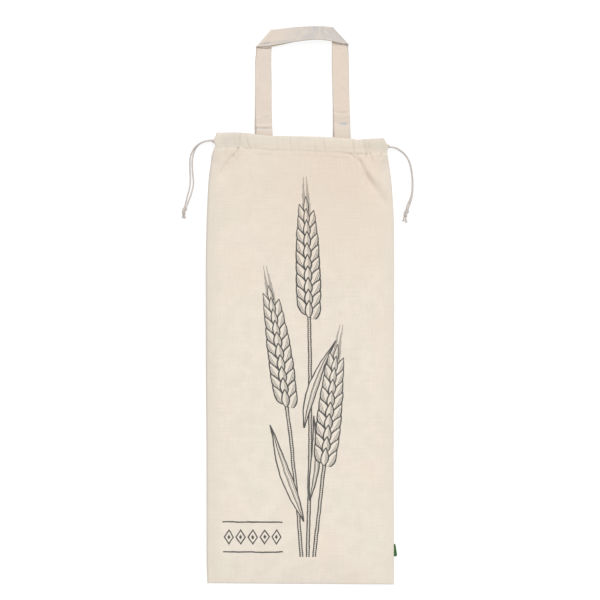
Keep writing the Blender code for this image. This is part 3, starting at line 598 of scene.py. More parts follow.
def add_rope(bm, points, radius, cord, spread=1.0):
    """Adds a rope of twisted plies along points, in millimetres, to a bmesh. Its UVs are in metres: round,
    along. spread is how much wider than high it lies."""
    sides = SIDES_A_PLY * cord.plies
    frames = frames_along(points)
    first, last, rings = [], [], len(points) - 1
    grid = grid_on(bm, sides, rings)
    uv = bm.loops.layers.uv.get("twist") or bm.loops.layers.uv.new("twist")
    along = distances(points)
    lay = cord.lay_length / MM
    for vertex, place, ring in grid:
        turn = 2 * math.pi * place / sides
        phase = 2 * math.pi * along[ring] / lay
        ply = abs(math.cos(cord.plies * (turn - phase) / 2))
        size = radius * (PLY_SWELL - PLY_GROOVE * (1 - ply))
        tangent, across = frames[ring]
        out = Quaternion(tangent, turn) @ across
        out = Vector((out.x * spread, out.y * spread, out.z))
        vertex.co = (points[ring] + size * out) * MM
        for loop in vertex.link_loops:
            loop[uv].uv = (turn * radius * MM, along[ring] * MM)
        if ring in (0, rings):
            (first if ring == 0 else last).append(vertex)
    bmesh.ops.remove_doubles(bm, verts=[vertex for vertex, _, _ in grid], dist=WELD)
    for ring in (first, last):
        kept = {vertex for vertex in ring if vertex.is_valid}
        edges = [edge for edge in bm.edges if edge.is_boundary and set(edge.verts) <= kept]
        bmesh.ops.holes_fill(bm, edges=edges, sides=0)


# ---------------------------------------------------------------- shader sums


class Signal:
    """A socket's output. Sums written on signals add Math nodes to their material."""

    def __init__(self, maker, socket):
        self.maker = maker
        self.socket = socket

    def math(self, operation, *others):
        inputs = dict(enumerate([self, *others]))
        return self.maker.add("ShaderNodeMath", {"operation": operation}, inputs)

    def __add__(self, other):
        return self.math("ADD", other)

    __radd__ = __add__

    def __sub__(self, other):
        return self.math("SUBTRACT", other)

    def __rsub__(self, other):
        return self.maker.add("ShaderNodeMath", {"operation": "SUBTRACT"}, {0: other, 1: self})

    def __mul__(self, other):
        return self.math("MULTIPLY", other)

    __rmul__ = __mul__

    def __truediv__(self, other):
        return self.math("DIVIDE", other)

    def __pow__(self, other):
        return self.math("POWER", other)

    def __abs__(self):
        return self.math("ABSOLUTE")

    def __lt__(self, other):
        return self.math("LESS_THAN", other)

    def __gt__(self, other):
        return self.math("GREATER_THAN", other)

    def floor(self):
        return self.math("FLOOR")

    def fraction(self):
        return self.math("FRACT")

    def cosine(self):
        return self.math("COSINE")

    def sine(self):
        return self.math("SINE")

    def at_most(self, other):
        return self.math("MINIMUM", other)

    def at_least(self, other):
        return self.math("MAXIMUM", other)

    def rise(self, low, high):
        """0 below low, 1 above high, and a soft step between."""
        return self.maker.add(
            "ShaderNodeMapRange",
            {"interpolation_type": "SMOOTHSTEP"},
            {"Value": self, "From Min": low, "From Max": high},
        )


class Maker:
    """Makes one material's nodes."""

    def __init__(self, name):
        self.material = bpy.data.materials.new(name)
        self.material.use_nodes = True
        self.tree = self.material.node_tree
        self.shader = self.tree.nodes["Principled BSDF"]

    def add(self, kind, settings=None, inputs=None, output=0):
        """A node of a kind. Its settings come first, then the values or links of its sockets."""
        node = self.tree.nodes.new(kind)
        for name, value in (settings or {}).items():
            setattr(node, name, value)
        for name, value in (inputs or {}).items():
            self.connect(node.inputs[name], value)
        return Signal(self, node.outputs[output])

    def connect(self, socket, value):
        if isinstance(value, Signal):
            self.tree.links.new(value.socket, socket)
        else:
            socket.default_value = value

    def set(self, **inputs):
        """Sets or links the shader's own sockets, named with _ for each space."""
        for name, value in inputs.items():
            self.connect(self.shader.inputs[name.replace("_", " ")], value)

    def flat(self, layer="cloth"):
        """The place on the cloth, or round and along a cord, in millimetres."""
        place = self.add("ShaderNodeUVMap", {"uv_map": layer})
        apart = self.add("ShaderNodeSeparateXYZ", None, {0: place})
        along = Signal(self, apart.socket.node.outputs[1])
        return apart * (1 / MM), along * (1 / MM)

    def place(self, x, y, z=0.0):
        return self.add("ShaderNodeCombineXYZ", None, {0: x, 1: y, 2: z})

    def noise(self, where, scale=1.0, detail=2.0, roughness=0.5):
        """Cloudy noise about 0.5, where is a vector."""
        return self.add(
            "ShaderNodeTexNoise",
            {"noise_dimensions": "3D"},
            {"Vector": where, "Scale": scale, "Detail": detail, "Roughness": roughness},
        )

    def noise_on(self, across, along, kind):
        return self.noise(self.place(across, along, kind.seed), kind.scale, kind.detail, kind.roughness)

    def cells(self, where, scale):
        """Distance to the nearest of scattered points."""
        return self.add("ShaderNodeTexVoronoi", None, {"Vector": where, "Scale": scale})

    def blend(self, factor, a, b):
        """From colour a to colour b, which are a Mix node's inputs 6 and 7, to its output 2."""
        settings = {"data_type": "RGBA", "clamp_factor": True}
        return self.add("ShaderNodeMix", settings, {0: factor, 6: a, 7: b}, 2)

    def mottled(self, signal, mottle, colour):
        """A colour's darker shade where the signal is low, and its lighter one where it is high."""
        mask = signal.rise(mottle.low, mottle.high)
        return self.blend(mask, shade(colour, mottle.dark), shade(colour, mottle.light))

    def tinted(self, base, signal, tint, colour, where=None):
        """base, taken towards a shade of the colour as the signal goes from the tint's low to its high."""
        mask = signal.rise(tint.low, tint.high)
        if where is not None:
            mask = mask * where
        return self.blend(mask * tint.share, base, shade(colour, tint.by))

    def bump(self, height):
        """A normal from a height in metres."""
        return self.add("ShaderNodeBump", None, {"Height": height, "Strength": 1.0, "Distance": 1.0})


def rgba(colour):
    return (*colour[:3], 1.0)


def shade(colour, by):
    """A colour times a number, or each of its channels times its own."""
    shares = by if isinstance(by, tuple) else (by, by, by)
    return tuple(min(channel * share, 1.0) for channel, share in zip(colour, shares)) + (1.0,)


def fall(signal, low, high):
    """1 below low, 0 above high, and a soft step between."""
    return signal.rise(high, low)


def between(signal, low, full, full_ends, ends):
    """0 below low, 1 from full to full_ends, and 0 again above ends."""
    return signal.rise(low, full) * fall(signal, full_ends, ends)


def line_of(distance, half, soft=0.25):
    """Ink along a line: 1 within half its width of it."""
    return fall(abs(distance), half - soft, half + soft)


def within(signal, middle, half):
    """1 where a signal is this near to a middle value."""
    return signal.math("COMPARE", middle, half)


def over(below, fill, ink):
    """Ink drawn over what is below it, which the shape's own paper-coloured fill hides."""
    return (below * (1 - fill)).at_least(ink)


# ---------------------------------------------------------------- materials


Noise = namedtuple("Noise", "seed scale detail roughness")
Mottle = namedtuple("Mottle", "low high dark light")
# From low to high of a signal, a share of the way to a shade. A shade is one number or one for each channel.
Tint = namedtuple("Tint", "low high share by")
Range = namedtuple("Range", "low high")

WEAVE_SWELL = namedtuple("Swell", "step stretch more")(0.73, 34.0, 1.1)  # how threads swell and thin
WEAVE_SEEDS = (3.1, 7.7)
OVER_SHARE, UNDER_SHARE = 0.62, 0.38  # how high a thread lies, and how much its crossings add or take off
THREAD_SPREAD = 2.2

LINEN_CLOUD, LINEN_PATCH = Noise(0.0, 0.010, 4.0, 0.6), Noise(40.0, 0.045, 3.0, 0.62)
LINEN_GRAIN, LINEN_KEPT = Noise(80.0, 0.30, 3.0, 0.7), Noise(120.0, 0.11, 1.0, 0.5)
LINEN_MOTTLE = Mottle(0.36, 0.66, 0.968, 1.025)
LINEN_PINK = Tint(0.50, 0.70, 0.75, (1.02, 0.965, 0.955))
LINEN_GREEN = Tint(0.48, 0.28, 0.70, (0.965, 1.0, 0.965))
LINEN_WARM = Tint(-60.0, 230.0, 1.0, (0.975, 0.918, 0.872))  # towards the mouth
WARM_ACROSS, WARM_LEAST = Range(-110.0, 60.0), 0.38  # and more so at the right
# Painted shade: the hem darker, more so on its fold at the top edge, and most at that fold's left end
HEM_PAINTED_SHADE, FOLD_PAINTED_SHADE = Tint(247.0, 268.0, 0.75, 0.93), Tint(260.0, 271.0, 0.80, 0.885)
LEFT_FOLD_PAINTED_SHADE, LEFT_FOLD_ACROSS = Tint(254.0, 268.0, 0.60, 0.86), Range(-112.0, -92.0)
# Painted shade along both sides, where the cloth falls away to the seams
SIDES_PAINTED_SHADE = Tint(122.0, 150.0, 0.80, 0.94)
CORNER_TINT, CORNER_ACROSS = Tint(-330.0, -420.0, 0.70, 0.93), Range(-146.0, -118.0)
# Painted shade: the hem at the right made darker and greyer
DULL_PAINTED_SHADE, DULL_ACROSS = Tint(249.0, 254.0, 0.90, (0.855, 0.86, 0.845)), Range(88.0, 122.0)
# Painted light: the cloth just above the stitches is made lighter, as where it catches the light
PUFF_PAINTED_LIGHT, PUFF_MIDDLE = Tint(4.5, 1.5, 0.60, 1.08), 4.0
STITCH_LINE = namedtuple("Line", "slope y")(0.037, 246.2)
GRAIN_TINT = Tint(0.50, 0.75, 0.30, 0.93)
THICK_TINT, THIN_TINT = Tint(0.05, 0.90, 0.45, 1.08), Tint(0.05, 0.90, 0.45, 0.86)
# Painted shade in the hollows between the threads
HOLLOW_PAINTED_SHADE = Tint(0.35, 0.95, 0.28, 0.62)
FLECK = namedtuple("Fleck", "seed scale stretch share by")(5.0, 0.16, 2.6, 0.34, 0.42)
FLECK_SIZE, FLECK_KEPT = Range(0.05, 0.11), Range(0.52, 0.56)
LINEN_RELIEF = namedtuple("Relief", "slubs grain share")(0.8, 0.5, 0.8)  # of the weave's height
INK_WORN, INK_WORN_BY = Range(0.15, 0.60), 0.24  # the ink is thinner between the threads


def weave(m, across, along, pitch):
    """Plain weave: (height from 0 to 1, how much each thread stands out). Threads swell and thin along their
    length."""
    u, v = across / pitch, along / pitch
    thread_u, thread_v = u.floor(), v.floor()
    round_u = ((u - thread_u - 0.5) * math.pi).cosine()
    round_v = ((v - thread_v - 0.5) * math.pi).cosine()
    over_u = ((thread_u + thread_v) * 0.5).fraction() * 4 - 1
    step, stretch, more = WEAVE_SWELL
    swell_u = m.noise(m.place(thread_u * step, along / stretch, WEAVE_SEEDS[0])) - 0.5
    swell_v = m.noise(m.place(across / stretch, thread_v * step, WEAVE_SEEDS[1])) - 0.5
    warp = round_u * (OVER_SHARE + UNDER_SHARE * over_u * round_v) * (1 + more * swell_u)
    weft = round_v * (OVER_SHARE - UNDER_SHARE * over_u * round_u) * (1 + more * swell_v)
    return warp.at_least(weft), swell_u + swell_v


def linen(name, cloth, ink=None):
    """Unbleached linen: a plain weave of uneven threads with slubs, flecks and a faint mottle."""
    m = Maker(name)
    across, along = m.flat()
    height, slubs = weave(m, across, along, cloth.thread_pitch / MM)
    cloud = m.noise_on(across, along, LINEN_CLOUD)
    patch = m.noise_on(across, along, LINEN_PATCH)
    grain = m.noise_on(across, along, LINEN_GRAIN)
    colour = cloth.colour
    base = m.mottled(patch, LINEN_MOTTLE, colour)
    base = m.tinted(base, cloud, LINEN_PINK, colour)
    base = m.tinted(base, cloud, LINEN_GREEN, colour)
    to_right = across.rise(*WARM_ACROSS) * (1 - WARM_LEAST) + WARM_LEAST
    base = m.tinted(base, along, LINEN_WARM, colour, to_right)
    # Painted shade on the hem, on its fold and at the fold's left end
    base = m.tinted(base, along, HEM_PAINTED_SHADE, colour)
    base = m.tinted(base, along, FOLD_PAINTED_SHADE, colour)
    base = m.tinted(base, along, LEFT_FOLD_PAINTED_SHADE, colour, fall(across, *LEFT_FOLD_ACROSS))
    # Painted shade along the sides
    base = m.tinted(base, abs(across), SIDES_PAINTED_SHADE, colour)
    base = m.tinted(base, along, CORNER_TINT, colour, fall(across, *CORNER_ACROSS))
    # Painted shade on the hem at the right
    base = m.tinted(base, along, DULL_PAINTED_SHADE, colour, across.rise(*DULL_ACROSS))
    # Painted light on a band just above the stitches
    above_stitches = along + across * STITCH_LINE.slope - STITCH_LINE.y
    base = m.tinted(base, abs(above_stitches - PUFF_MIDDLE), PUFF_PAINTED_LIGHT, colour)
    base = m.tinted(base, grain, GRAIN_TINT, colour)
    base = m.tinted(base, slubs * THREAD_SPREAD, THICK_TINT, colour)
    base = m.tinted(base, slubs * -THREAD_SPREAD, THIN_TINT, colour)
    # Painted shade in the weave's hollows
    base = m.tinted(base, 1 - height, HOLLOW_PAINTED_SHADE, colour)
    fleck = m.cells(m.place(across, along / FLECK.stretch, FLECK.seed), FLECK.scale)
    kept = m.noise_on(across, along, LINEN_KEPT)
    speck = (1 - fleck.rise(*FLECK_SIZE)) * kept.rise(*FLECK_KEPT)
    base = m.blend(speck * FLECK.share, base, shade(colour, FLECK.by))
    if ink:
        mask = wheat_print(m, across, along, ink)
        worn = (1 - INK_WORN_BY) + INK_WORN_BY * height.rise(*INK_WORN)
        base = m.blend(mask * worn * ink.strength, base, rgba(ink.colour))
    uneven = slubs * LINEN_RELIEF.slubs + grain * LINEN_RELIEF.grain
    relief = height * cloth.weave_height + uneven * (cloth.weave_height * LINEN_RELIEF.share)
    m.set(
        Base_Color=base,
        Roughness=0.92,
        Specular_IOR_Level=0.18,
        Sheen_Weight=0.12,
        Sheen_Roughness=0.55,
        Normal=m.bump(relief),
    )
    return m.material


def husk(across, along, real, size, pen, dots):
    """One husk of an ear: (the area it covers, its ink). along runs from its base, across from its middle
    line, and dots is the distance to the nearest of scattered points."""
    t = along / size.long
    real = within(t, 0.5, 0.5) * real
    width = (t.at_least(0.0) ** HUSK_POINTED * math.pi).sine() * size.half
    edge = abs(across) - width
    inside = fall(edge, -HUSK_EDGE, HUSK_EDGE) * real
    shaded = across > 0
    outline = line_of(edge + shaded * (pen * 0.5), pen * PENS.husk) * real
    veins = (across / width * HUSK_VEINS.count).math("PINGPONG", 0.5).rise(HUSK_VEINS.low, HUSK_VEINS.high)
    veins = veins * shaded * within(t, HUSK_VEINS.middle, HUSK_VEINS.half)
    stipple = dots < (across / width - t * STIPPLE.slope + STIPPLE.base) * STIPPLE.size
    return inside, outline.at_least(veins.at_least(stipple) * inside)


def ear_of(across, along, pen, dots):
    """An ear of wheat, as (area covered, ink): side husks in pairs, a middle row over them, and a beard."""
    off_widest = along / EAR.long - EAR.widest
    wide = 1 - off_widest * off_widest * EAR.narrows
    side = abs(across) / wide
    pitch = EAR.pitch
    shifted = along / pitch + (across > 0) * 0.5
    tilt = math.radians(EAR.tilt)
    half = EAR.long / pitch / 2
    cell = shifted.floor()
    out = side - SIDE_HUSK.out
    ink = fill = None
    for back in (0, 1):
        rise = (shifted - cell + back) * pitch
        husk_along = rise * math.cos(tilt) + out * math.sin(tilt)
        husk_across = out * math.cos(tilt) - rise * math.sin(tilt)
        real = within(cell - back, half, half + SIDE_ROOM)
        inside, lines = husk(husk_across, husk_along, real, SIDE_HUSK, pen, dots)
        ink = lines if ink is None else over(ink, inside, lines)
        fill = inside if fill is None else fill.at_least(inside)
    shifted = along / pitch + MIDDLE_SHIFT
    cell = shifted.floor()
    for back in (0, 1):
        rise = (shifted - cell + back) * pitch
        real = within(cell - back, half, half + MIDDLE_ROOM)
        inside, lines = husk(across / wide, rise, real, MIDDLE_HUSK, pen, dots)
        ink = over(ink, inside, lines)
        fill = fill.at_least(inside)
    lean = math.radians(BEARD.lean)
    q = side * math.cos(lean) - along * math.sin(lean)
    run = side * math.sin(lean) + along * math.cos(lean)
    gap = BEARD.pitch * math.sin(lean)
    index = (q / gap).floor() + 0.5
    beyond = run + index * (gap / math.tan(lean)) - BEARD.start / math.cos(lean)
    hairs = line_of(q - index * gap, pen * PENS.beard, BEARD_SOFT)
    hairs = hairs * within(beyond, BEARD.long / 2, BEARD.long / 2)
    hairs = hairs * within(index, -EAR.long / BEARD.pitch / 2, EAR.long / BEARD.pitch / 2 + 1)
    return fill, ink.at_least(hairs * (1 - fill))


# Three ears of wheat on tall stems, for the print. foot_x and top_x are where a stem starts and its ear ends,
# bow is how far it bends between, and low is where its ear starts.
Stem = namedtuple("Stem", "foot_x top_x bow low")
STEMS = [Stem(2.0, -44.0, -7.0, -158.0), Stem(12.0, 10.0, 5.0, -16.0), Stem(22.0, 56.0, 9.0, -252.0)]
EAR = namedtuple("Ear", "long pitch tilt widest narrows")(158.0, 18.4, 26.0, 0.35, 0.67)
MIDDLE_SHIFT = 0.25  # the middle row of husks starts this much of a pitch lower
Husk = namedtuple("Husk", "long half out")
SIDE_HUSK, MIDDLE_HUSK = Husk(34.0, 7.6, 4.6), Husk(29.0, 6.6, 0.0)
HUSK_POINTED, HUSK_EDGE = 0.8, 0.2
SIDE_ROOM, MIDDLE_ROOM = 0.1, 0.6  # rows of husks are drawn this much of a row past half an ear
HUSK_VEINS = namedtuple("Veins", "count low high middle half")(3.4, 0.26, 0.38, 0.42, 0.36)
STIPPLE = namedtuple("Stipple", "slope base size")(0.9, 0.55, 0.34)
BEARD = namedtuple("Beard", "lean pitch start long")(9.0, 15.0, 10.0, 58.0)
Blade = namedtuple("Blade", "foot_x foot_y tip_x tip_y bow half")
BLADES = [
    Blade(6.0, -346.0, -48.0, -190.0, -17.0, 11.0),
    Blade(15.0, -312.0, 22.0, -176.0, 8.0, 8.5),
    Blade(7.0, -196.0, 58.0, -56.0, 3.0, 9.5),
]
BLADE_WIDE, BLADE_NARROWS = 1.1, 0.6
BLADE_VEINS = namedtuple("Veins", "count low high")(2.2, 0.34, 0.46)
# Half the width of each kind of line, in half widths of the pen
PENS = namedtuple("Pens", "husk beard blade rib stem rule diamond")(0.85, 0.42, 0.8, 0.5, 0.7, 0.8, 1.3)
BEARD_SOFT, HATCH_HALF, HATCH_INK = 0.2, 0.6, 0.8  # the hatching fills this share of a stem
NEAREST_BY = 0.001
STEM_FOOT = -402.0
STEM_HALF = 2.1
BEYOND_EAR = 1000.0  # taken off a point's distance to a stem beside its ear, so that this ear is drawn
RULE_LEFT, RULE_RIGHT = -124.0, -28.0
RULE_TOP, RULE_BOTTOM = -346.0, -394.0
DIAMOND_PITCH, DIAMOND_HALF = 19.2, 11.0
DIAMOND_CORE = Range(3.6, 4.2)
HAND_SHAKE = 3.0  # how far a line of the print wanders, for these two noises
SHAKE_ACROSS, SHAKE_ALONG = Noise(11.0, 0.055, 2.0, 0.5), Noise(23.0, 0.055, 2.0, 0.5)
INTO_EAR = 6.0  # how far a stem runs on into its ear
EAR_ZONE = namedtuple("Zone", "middle half")(0.68, 0.72)  # an ear with its beard, in lengths of the ear
HATCH_PITCH, HATCH = 3.0, Range(0.3, 0.42)
DOTS_SCALE = 0.62


def blade_over(mask, blade, x, y, pen):
    """A long pointed leaf with veins, drawn over the ink so far."""
    t = (y - blade.foot_y) / (blade.tip_y - blade.foot_y)
    real = within(t, 0.5, 0.5)
    bent = (t.at_least(0.0) * math.pi).sine()
    off = x - (t * t * (blade.tip_x - blade.foot_x) + bent * blade.bow + blade.foot_x)
    width = bent * (BLADE_WIDE - BLADE_NARROWS * t) * blade.half
    inside = (abs(off) < width) * real
    veins = (off / width * BLADE_VEINS.count).math("PINGPONG", 0.5).rise(BLADE_VEINS.low, BLADE_VEINS.high)
    veins = veins * (off > 0) * inside
    drawn = line_of(abs(off) - width, pen * PENS.blade).at_least(line_of(off, pen * PENS.rib)) * real
    return over(mask, inside, drawn.at_least(veins))


def wheat_print(m, across, along, ink):
    """A print of wheat: three ears on long stems with blades, and a border of diamonds at the lower left."""
    wobble = m.noise_on(across, along, SHAKE_ACROSS)
    shake = m.noise_on(across, along, SHAKE_ALONG)
    x = across + wobble * HAND_SHAKE - HAND_SHAKE / 2
    y = along + shake * HAND_SHAKE - HAND_SHAKE / 2
    pen = ink.pen / MM / 2
    offs, nears, stem = [], [], None
    for ear in STEMS:
        t = ((y - STEM_FOOT) / (ear.low + EAR.long - STEM_FOOT)).at_least(0.0)
        off = x - (t * t * (ear.top_x - ear.foot_x) + (t * math.pi).sine() * ear.bow + ear.foot_x)
        offs.append(off)
        distance = abs(off)
        top = ear.low + INTO_EAR
        bare = distance + (1 - within(y, (STEM_FOOT + top) / 2, (top - STEM_FOOT) / 2)) * BEYOND_EAR
        stem = bare if stem is None else stem.at_most(bare)
        beside = within(y, ear.low + EAR.long * EAR_ZONE.middle, EAR.long * EAR_ZONE.half)
        nears.append(distance - beside * BEYOND_EAR)
    hatch = (y / HATCH_PITCH).math("PINGPONG", 0.5).rise(*HATCH) * (stem < STEM_HALF * HATCH_HALF)
    mask = line_of(stem - STEM_HALF, pen * PENS.stem).at_least(hatch * HATCH_INK)
    for blade in BLADES:
        mask = blade_over(mask, blade, x, y, pen)
    nearest = nears[0].at_most(nears[1]).at_most(nears[2])
    across_ear = low = 0.0
    for ear, off, near in zip(STEMS, offs, nears):
        chosen = within(near, nearest, NEAREST_BY)
        across_ear, low = chosen * off + across_ear, chosen * ear.low + low
    dots = m.cells(m.place(across, along), DOTS_SCALE)
    fill, lines = ear_of(across_ear, y - low, pen, dots)
    at_ear = nearest < 0
    mask = over(mask, fill * at_ear, lines * at_ear)
    span = within(x, (RULE_LEFT + RULE_RIGHT) / 2, (RULE_RIGHT - RULE_LEFT) / 2)
    middle = (RULE_TOP + RULE_BOTTOM) / 2
    above = abs(y - middle)
    rules = line_of(above - (RULE_TOP - middle), pen * PENS.rule)
    cell = ((x - RULE_LEFT) / DIAMOND_PITCH + 0.5).math("PINGPONG", 0.5)
    diamond = cell * (DIAMOND_PITCH * 1.5) + above
    drawn = line_of(diamond - DIAMOND_HALF, pen * PENS.diamond).at_least(fall(diamond, *DIAMOND_CORE))
    return mask.at_least(rules.at_least(drawn) * span)


# Painted shade: grey marks along the tape's creases, and a strip along its run
ShadeMark = namedtuple("ShadeMark", "along across high wide grey")
TAPE_SHADE_MARKS = [
    ShadeMark(33.0, 0.0, 1.2, 26.0, 0.85),
    ShadeMark(53.5, 3.0, 1.6, 9.0, 0.4),
    ShadeMark(192.0, -8.4, 11.0, 2.2, 0.8),
    ShadeMark(212.0, -9.6, 20.0, 1.7, 0.6),
    ShadeMark(421.5, -1.0, 1.6, 9.0, 0.5),
    ShadeMark(440.5, -3.0, 3.0, 9.0, 0.85),
]


TAPE_PITCH = 0.62
TAPE_CLOUD, TAPE_PATCH = Noise(9.0, 0.030, 4.0, 0.6), Noise(33.0, 0.11, 3.0, 0.6)
TAPE_MOTTLE = Mottle(0.35, 0.70, 0.955, 1.03)
# Painted shade over the whole run at the top of the handle
RUN_SPAN, RUN_PAINTED_SHADE = (178.0, 186.0, 300.0, 308.0), (0.60, 0.93)  # along the tape, then share and shade
# Grey on the run, partly wear and partly painted shade, and grey patches of wear elsewhere
WEAR_AND_SHADE_SPAN, WEAR_AND_SHADE_CLOUD, WORN_PATCH = (196.0, 256.0, 302.0, 309.0), Range(0.3, 0.6), Range(0.58, 0.75)
WEAR_AND_SHADE_BROKEN = Range(0.36, 0.58)
WEAR_AND_SHADE_LEAST, BROKEN_LEAST, WORN_ELSEWHERE = 0.6, 0.45, 0.25
WEAR_AND_SHADE_GREY, SHADE_MARK_GREY = (0.745, 0.735, 0.745), (0.63, 0.65, 0.68)
SHADE_MARK_EDGE, SHADE_MARK_RAGGED = Range(0.1, 1.4), namedtuple("Ragged", "by less")(2.6, 1.3)
RIGHT_LEG_TINT = Tint(304.0, 326.0, 1.0, (0.985, 0.962, 0.945))
# Painted shade on the legs where they come out from under the hem, and where they slope down from it
FEET, FEET_PAINTED_SHADE = (Range(28.0, 48.0), Range(432.0, 446.0)), (0.80, 0.90)
RISEN_PLACES, RISEN, RISEN_PAINTED_SHADE = (46.0, 433.0), Range(3.0, 8.0), (0.85, 0.87)
TAPE_THICK, TAPE_THIN = Tint(0.05, 0.90, 0.40, 1.07), Tint(0.05, 0.90, 0.40, 0.87)
# Painted shade in the hollows between the threads
TAPE_HOLLOW_PAINTED_SHADE = Tint(0.35, 0.95, 0.30, 0.60)
# Darker selvedges, which also stand in as painted shade along the tape's edges
SELVEDGE, SELVEDGE_AND_EDGE_SHADE = 1.2, Tint(0.0, 0.9, 0.50, 0.74)
# Painted shade along the tape's two folds at the top of the handle
FoldLine = namedtuple("FoldLine", "along half soft")
FOLD_LINES, FOLD_LINE_PAINTED_SHADE = (FoldLine(178.5, 1.6, 1.2), FoldLine(303.0, 1.8, 1.4)), (0.60, 0.62)


def tape_cloth(name, tape):
    """Flat woven tape: a fine plain weave, darker selvedges and a worn grey run, both partly painted shade.
    """
    m = Maker(name)
    across, along = m.flat()
    height, slubs = weave(m, across, along, TAPE_PITCH)
    cloud = m.noise_on(across, along, TAPE_CLOUD)
    patch = m.noise_on(across, along, TAPE_PATCH)
    colour = tape.colour
    grey = (sum(colour) / 3,) * 3

    def shaded(base, mask, tint):
        share, by = tint
        return m.blend(mask * share, base, shade(colour, by))

    base = m.mottled(cloud, TAPE_MOTTLE, colour)
    run = between(along, *RUN_SPAN)
    # The run's grey: partly wear, partly painted shade
    worn = between(along, *WEAR_AND_SHADE_SPAN) * (cloud.rise(*WEAR_AND_SHADE_CLOUD) * (1 - WEAR_AND_SHADE_LEAST) + WEAR_AND_SHADE_LEAST)
    worn = worn.at_least(patch.rise(*WORN_PATCH) * WORN_ELSEWHERE)
    # Painted shade of the creases and of the strip along the run
    shade_marked = None
    for mark in TAPE_SHADE_MARKS:
        away_x, away_y = (across - mark.across) / mark.wide, (along - mark.along) / mark.high
        ragged = away_x**2 + away_y**2 + patch * SHADE_MARK_RAGGED.by - SHADE_MARK_RAGGED.less
        shade_spot = fall(ragged, *SHADE_MARK_EDGE) * mark.grey
        shade_marked = shade_spot if shade_marked is None else shade_marked.at_least(shade_spot)
    base = m.tinted(base, along, RIGHT_LEG_TINT, colour)
    # Painted shade on the run
    base = shaded(base, run, RUN_PAINTED_SHADE)
    # Painted shade at the legs' feet and on their slopes
    base = shaded(base, fall(along, *FEET[0]).at_least(along.rise(*FEET[1])), FEET_PAINTED_SHADE)
    left_risen, right_risen = (fall(abs(along - place), *RISEN) for place in RISEN_PLACES)
    base = shaded(base, left_risen.at_least(right_risen), RISEN_PAINTED_SHADE)
    worn = worn * (patch.rise(*WEAR_AND_SHADE_BROKEN) * (1 - BROKEN_LEAST) + BROKEN_LEAST)
    base = m.blend(worn * tape.greying, base, shade(grey, WEAR_AND_SHADE_GREY))
    base = m.blend(shade_marked * tape.greying, base, shade(grey, SHADE_MARK_GREY))
    base = m.tinted(base, slubs * THREAD_SPREAD, TAPE_THICK, colour)
    base = m.tinted(base, slubs * -THREAD_SPREAD, TAPE_THIN, colour)
    # Painted shade in the weave's hollows
    base = m.tinted(base, 1 - height, TAPE_HOLLOW_PAINTED_SHADE, colour)
    half = tape.width / MM / 2
    left_line, right_line = (line_of(along - fold.along, fold.half, fold.soft) for fold in FOLD_LINES)
    # Darker selvedges, partly painted edge shade
    base = m.tinted(base, abs(across) - half + SELVEDGE, SELVEDGE_AND_EDGE_SHADE, colour)
    # Painted shade along the folds
    base = shaded(base, left_line.at_least(right_line), FOLD_LINE_PAINTED_SHADE)
    relief = height * tape.weave_height + slubs * tape.weave_height
    m.set(
        Base_Color=base,
        Roughness=0.9,
        Specular_IOR_Level=0.18,
        Sheen_Weight=0.12,
        Sheen_Roughness=0.5,
        Normal=m.bump(relief),
    )
    return m.material


CORD_PATCH, CORD_FIBRE = Noise(4.0, 0.12, 2.0, 0.5), namedtuple("Fibre", "round along")(9.0, 0.35)
CORD_MOTTLE = Mottle(0.35, 0.65, 0.93, 1.05)
# Darker fibres, and painted shade in the grooves between the plies
FIBRE_TINT, GROOVE_PAINTED_SHADE = Tint(0.5, 0.8, 0.50, 0.78), Tint(0.35, 1.0, 0.75, 0.50)
CORD_RELIEF = namedtuple("Relief", "fibre groove")(0.00012, 0.00010)


def twine(name, cord):
    """Twisted cotton: fine fibres that follow the plies, and painted shade in the grooves between them."""
    m = Maker(name)
    round_it, along = m.flat("twist")
    lay, girth = cord.lay_length / MM, math.pi * cord.diameter / MM
    phase = (round_it / girth - along / lay) * cord.plies
    groove = abs((phase * math.pi).cosine())
    fibre = m.noise(m.place(phase * CORD_FIBRE.round, along * CORD_FIBRE.along), 1.0, 3.0, 0.65)
    patch = m.noise_on(round_it, along, CORD_PATCH)
    base = m.mottled(patch, CORD_MOTTLE, cord.colour)
    base = m.tinted(base, fibre, FIBRE_TINT, cord.colour)
    # Painted shade in the grooves
    base = m.tinted(base, 1 - groove, GROOVE_PAINTED_SHADE, cord.colour)
    relief = fibre * CORD_RELIEF.fibre + groove * CORD_RELIEF.groove
    m.set(
        Base_Color=base,
        Roughness=0.88,
        Specular_IOR_Level=0.2,
        Sheen_Weight=0.15,
        Normal=m.bump(relief),
    )
    return m.material


OBJECT_PLACE = 3  # the output of coordinates that gives a point's place on its object
THREAD_MOTTLE, THREAD_FUZZ = Mottle(0.2, 0.8, 0.80, 1.06), Tint(0.5, 0.8, 0.30, 0.75)
THREAD_RELIEF = 0.00004


def thread_material(name, colour):
    """Sewing thread, with a fine twist."""
    m = Maker(name)
    place = m.add("ShaderNodeTexCoord", None, None, OBJECT_PLACE)
    ply = m.add("ShaderNodeTexWave", {"bands_direction": "DIAGONAL"}, {"Vector": place, "Scale": 900.0})
    fuzz = m.noise(place, 1400.0, 2.0)
    base = m.mottled(ply, THREAD_MOTTLE, colour)
    base = m.tinted(base, fuzz, THREAD_FUZZ, colour)
    m.set(Base_Color=base, Roughness=0.7, Specular_IOR_Level=0.3, Normal=m.bump(ply * THREAD_RELIEF))
    return m.material


RIB_PITCH, PICK_PITCH, RIBBON_RELIEF = 0.28, 0.42, 0.00003
RIBBON_PATCH, RIBBON_MOTTLE = Noise(0.0, 0.35, 3.0, 0.6), Mottle(0.35, 0.70, 0.75, 1.35)
# Painted highlight where the picks cross the ribs
RIBBON_PAINTED_GLEAM = namedtuple("Gleam", "share by")(0.45, 1.9)


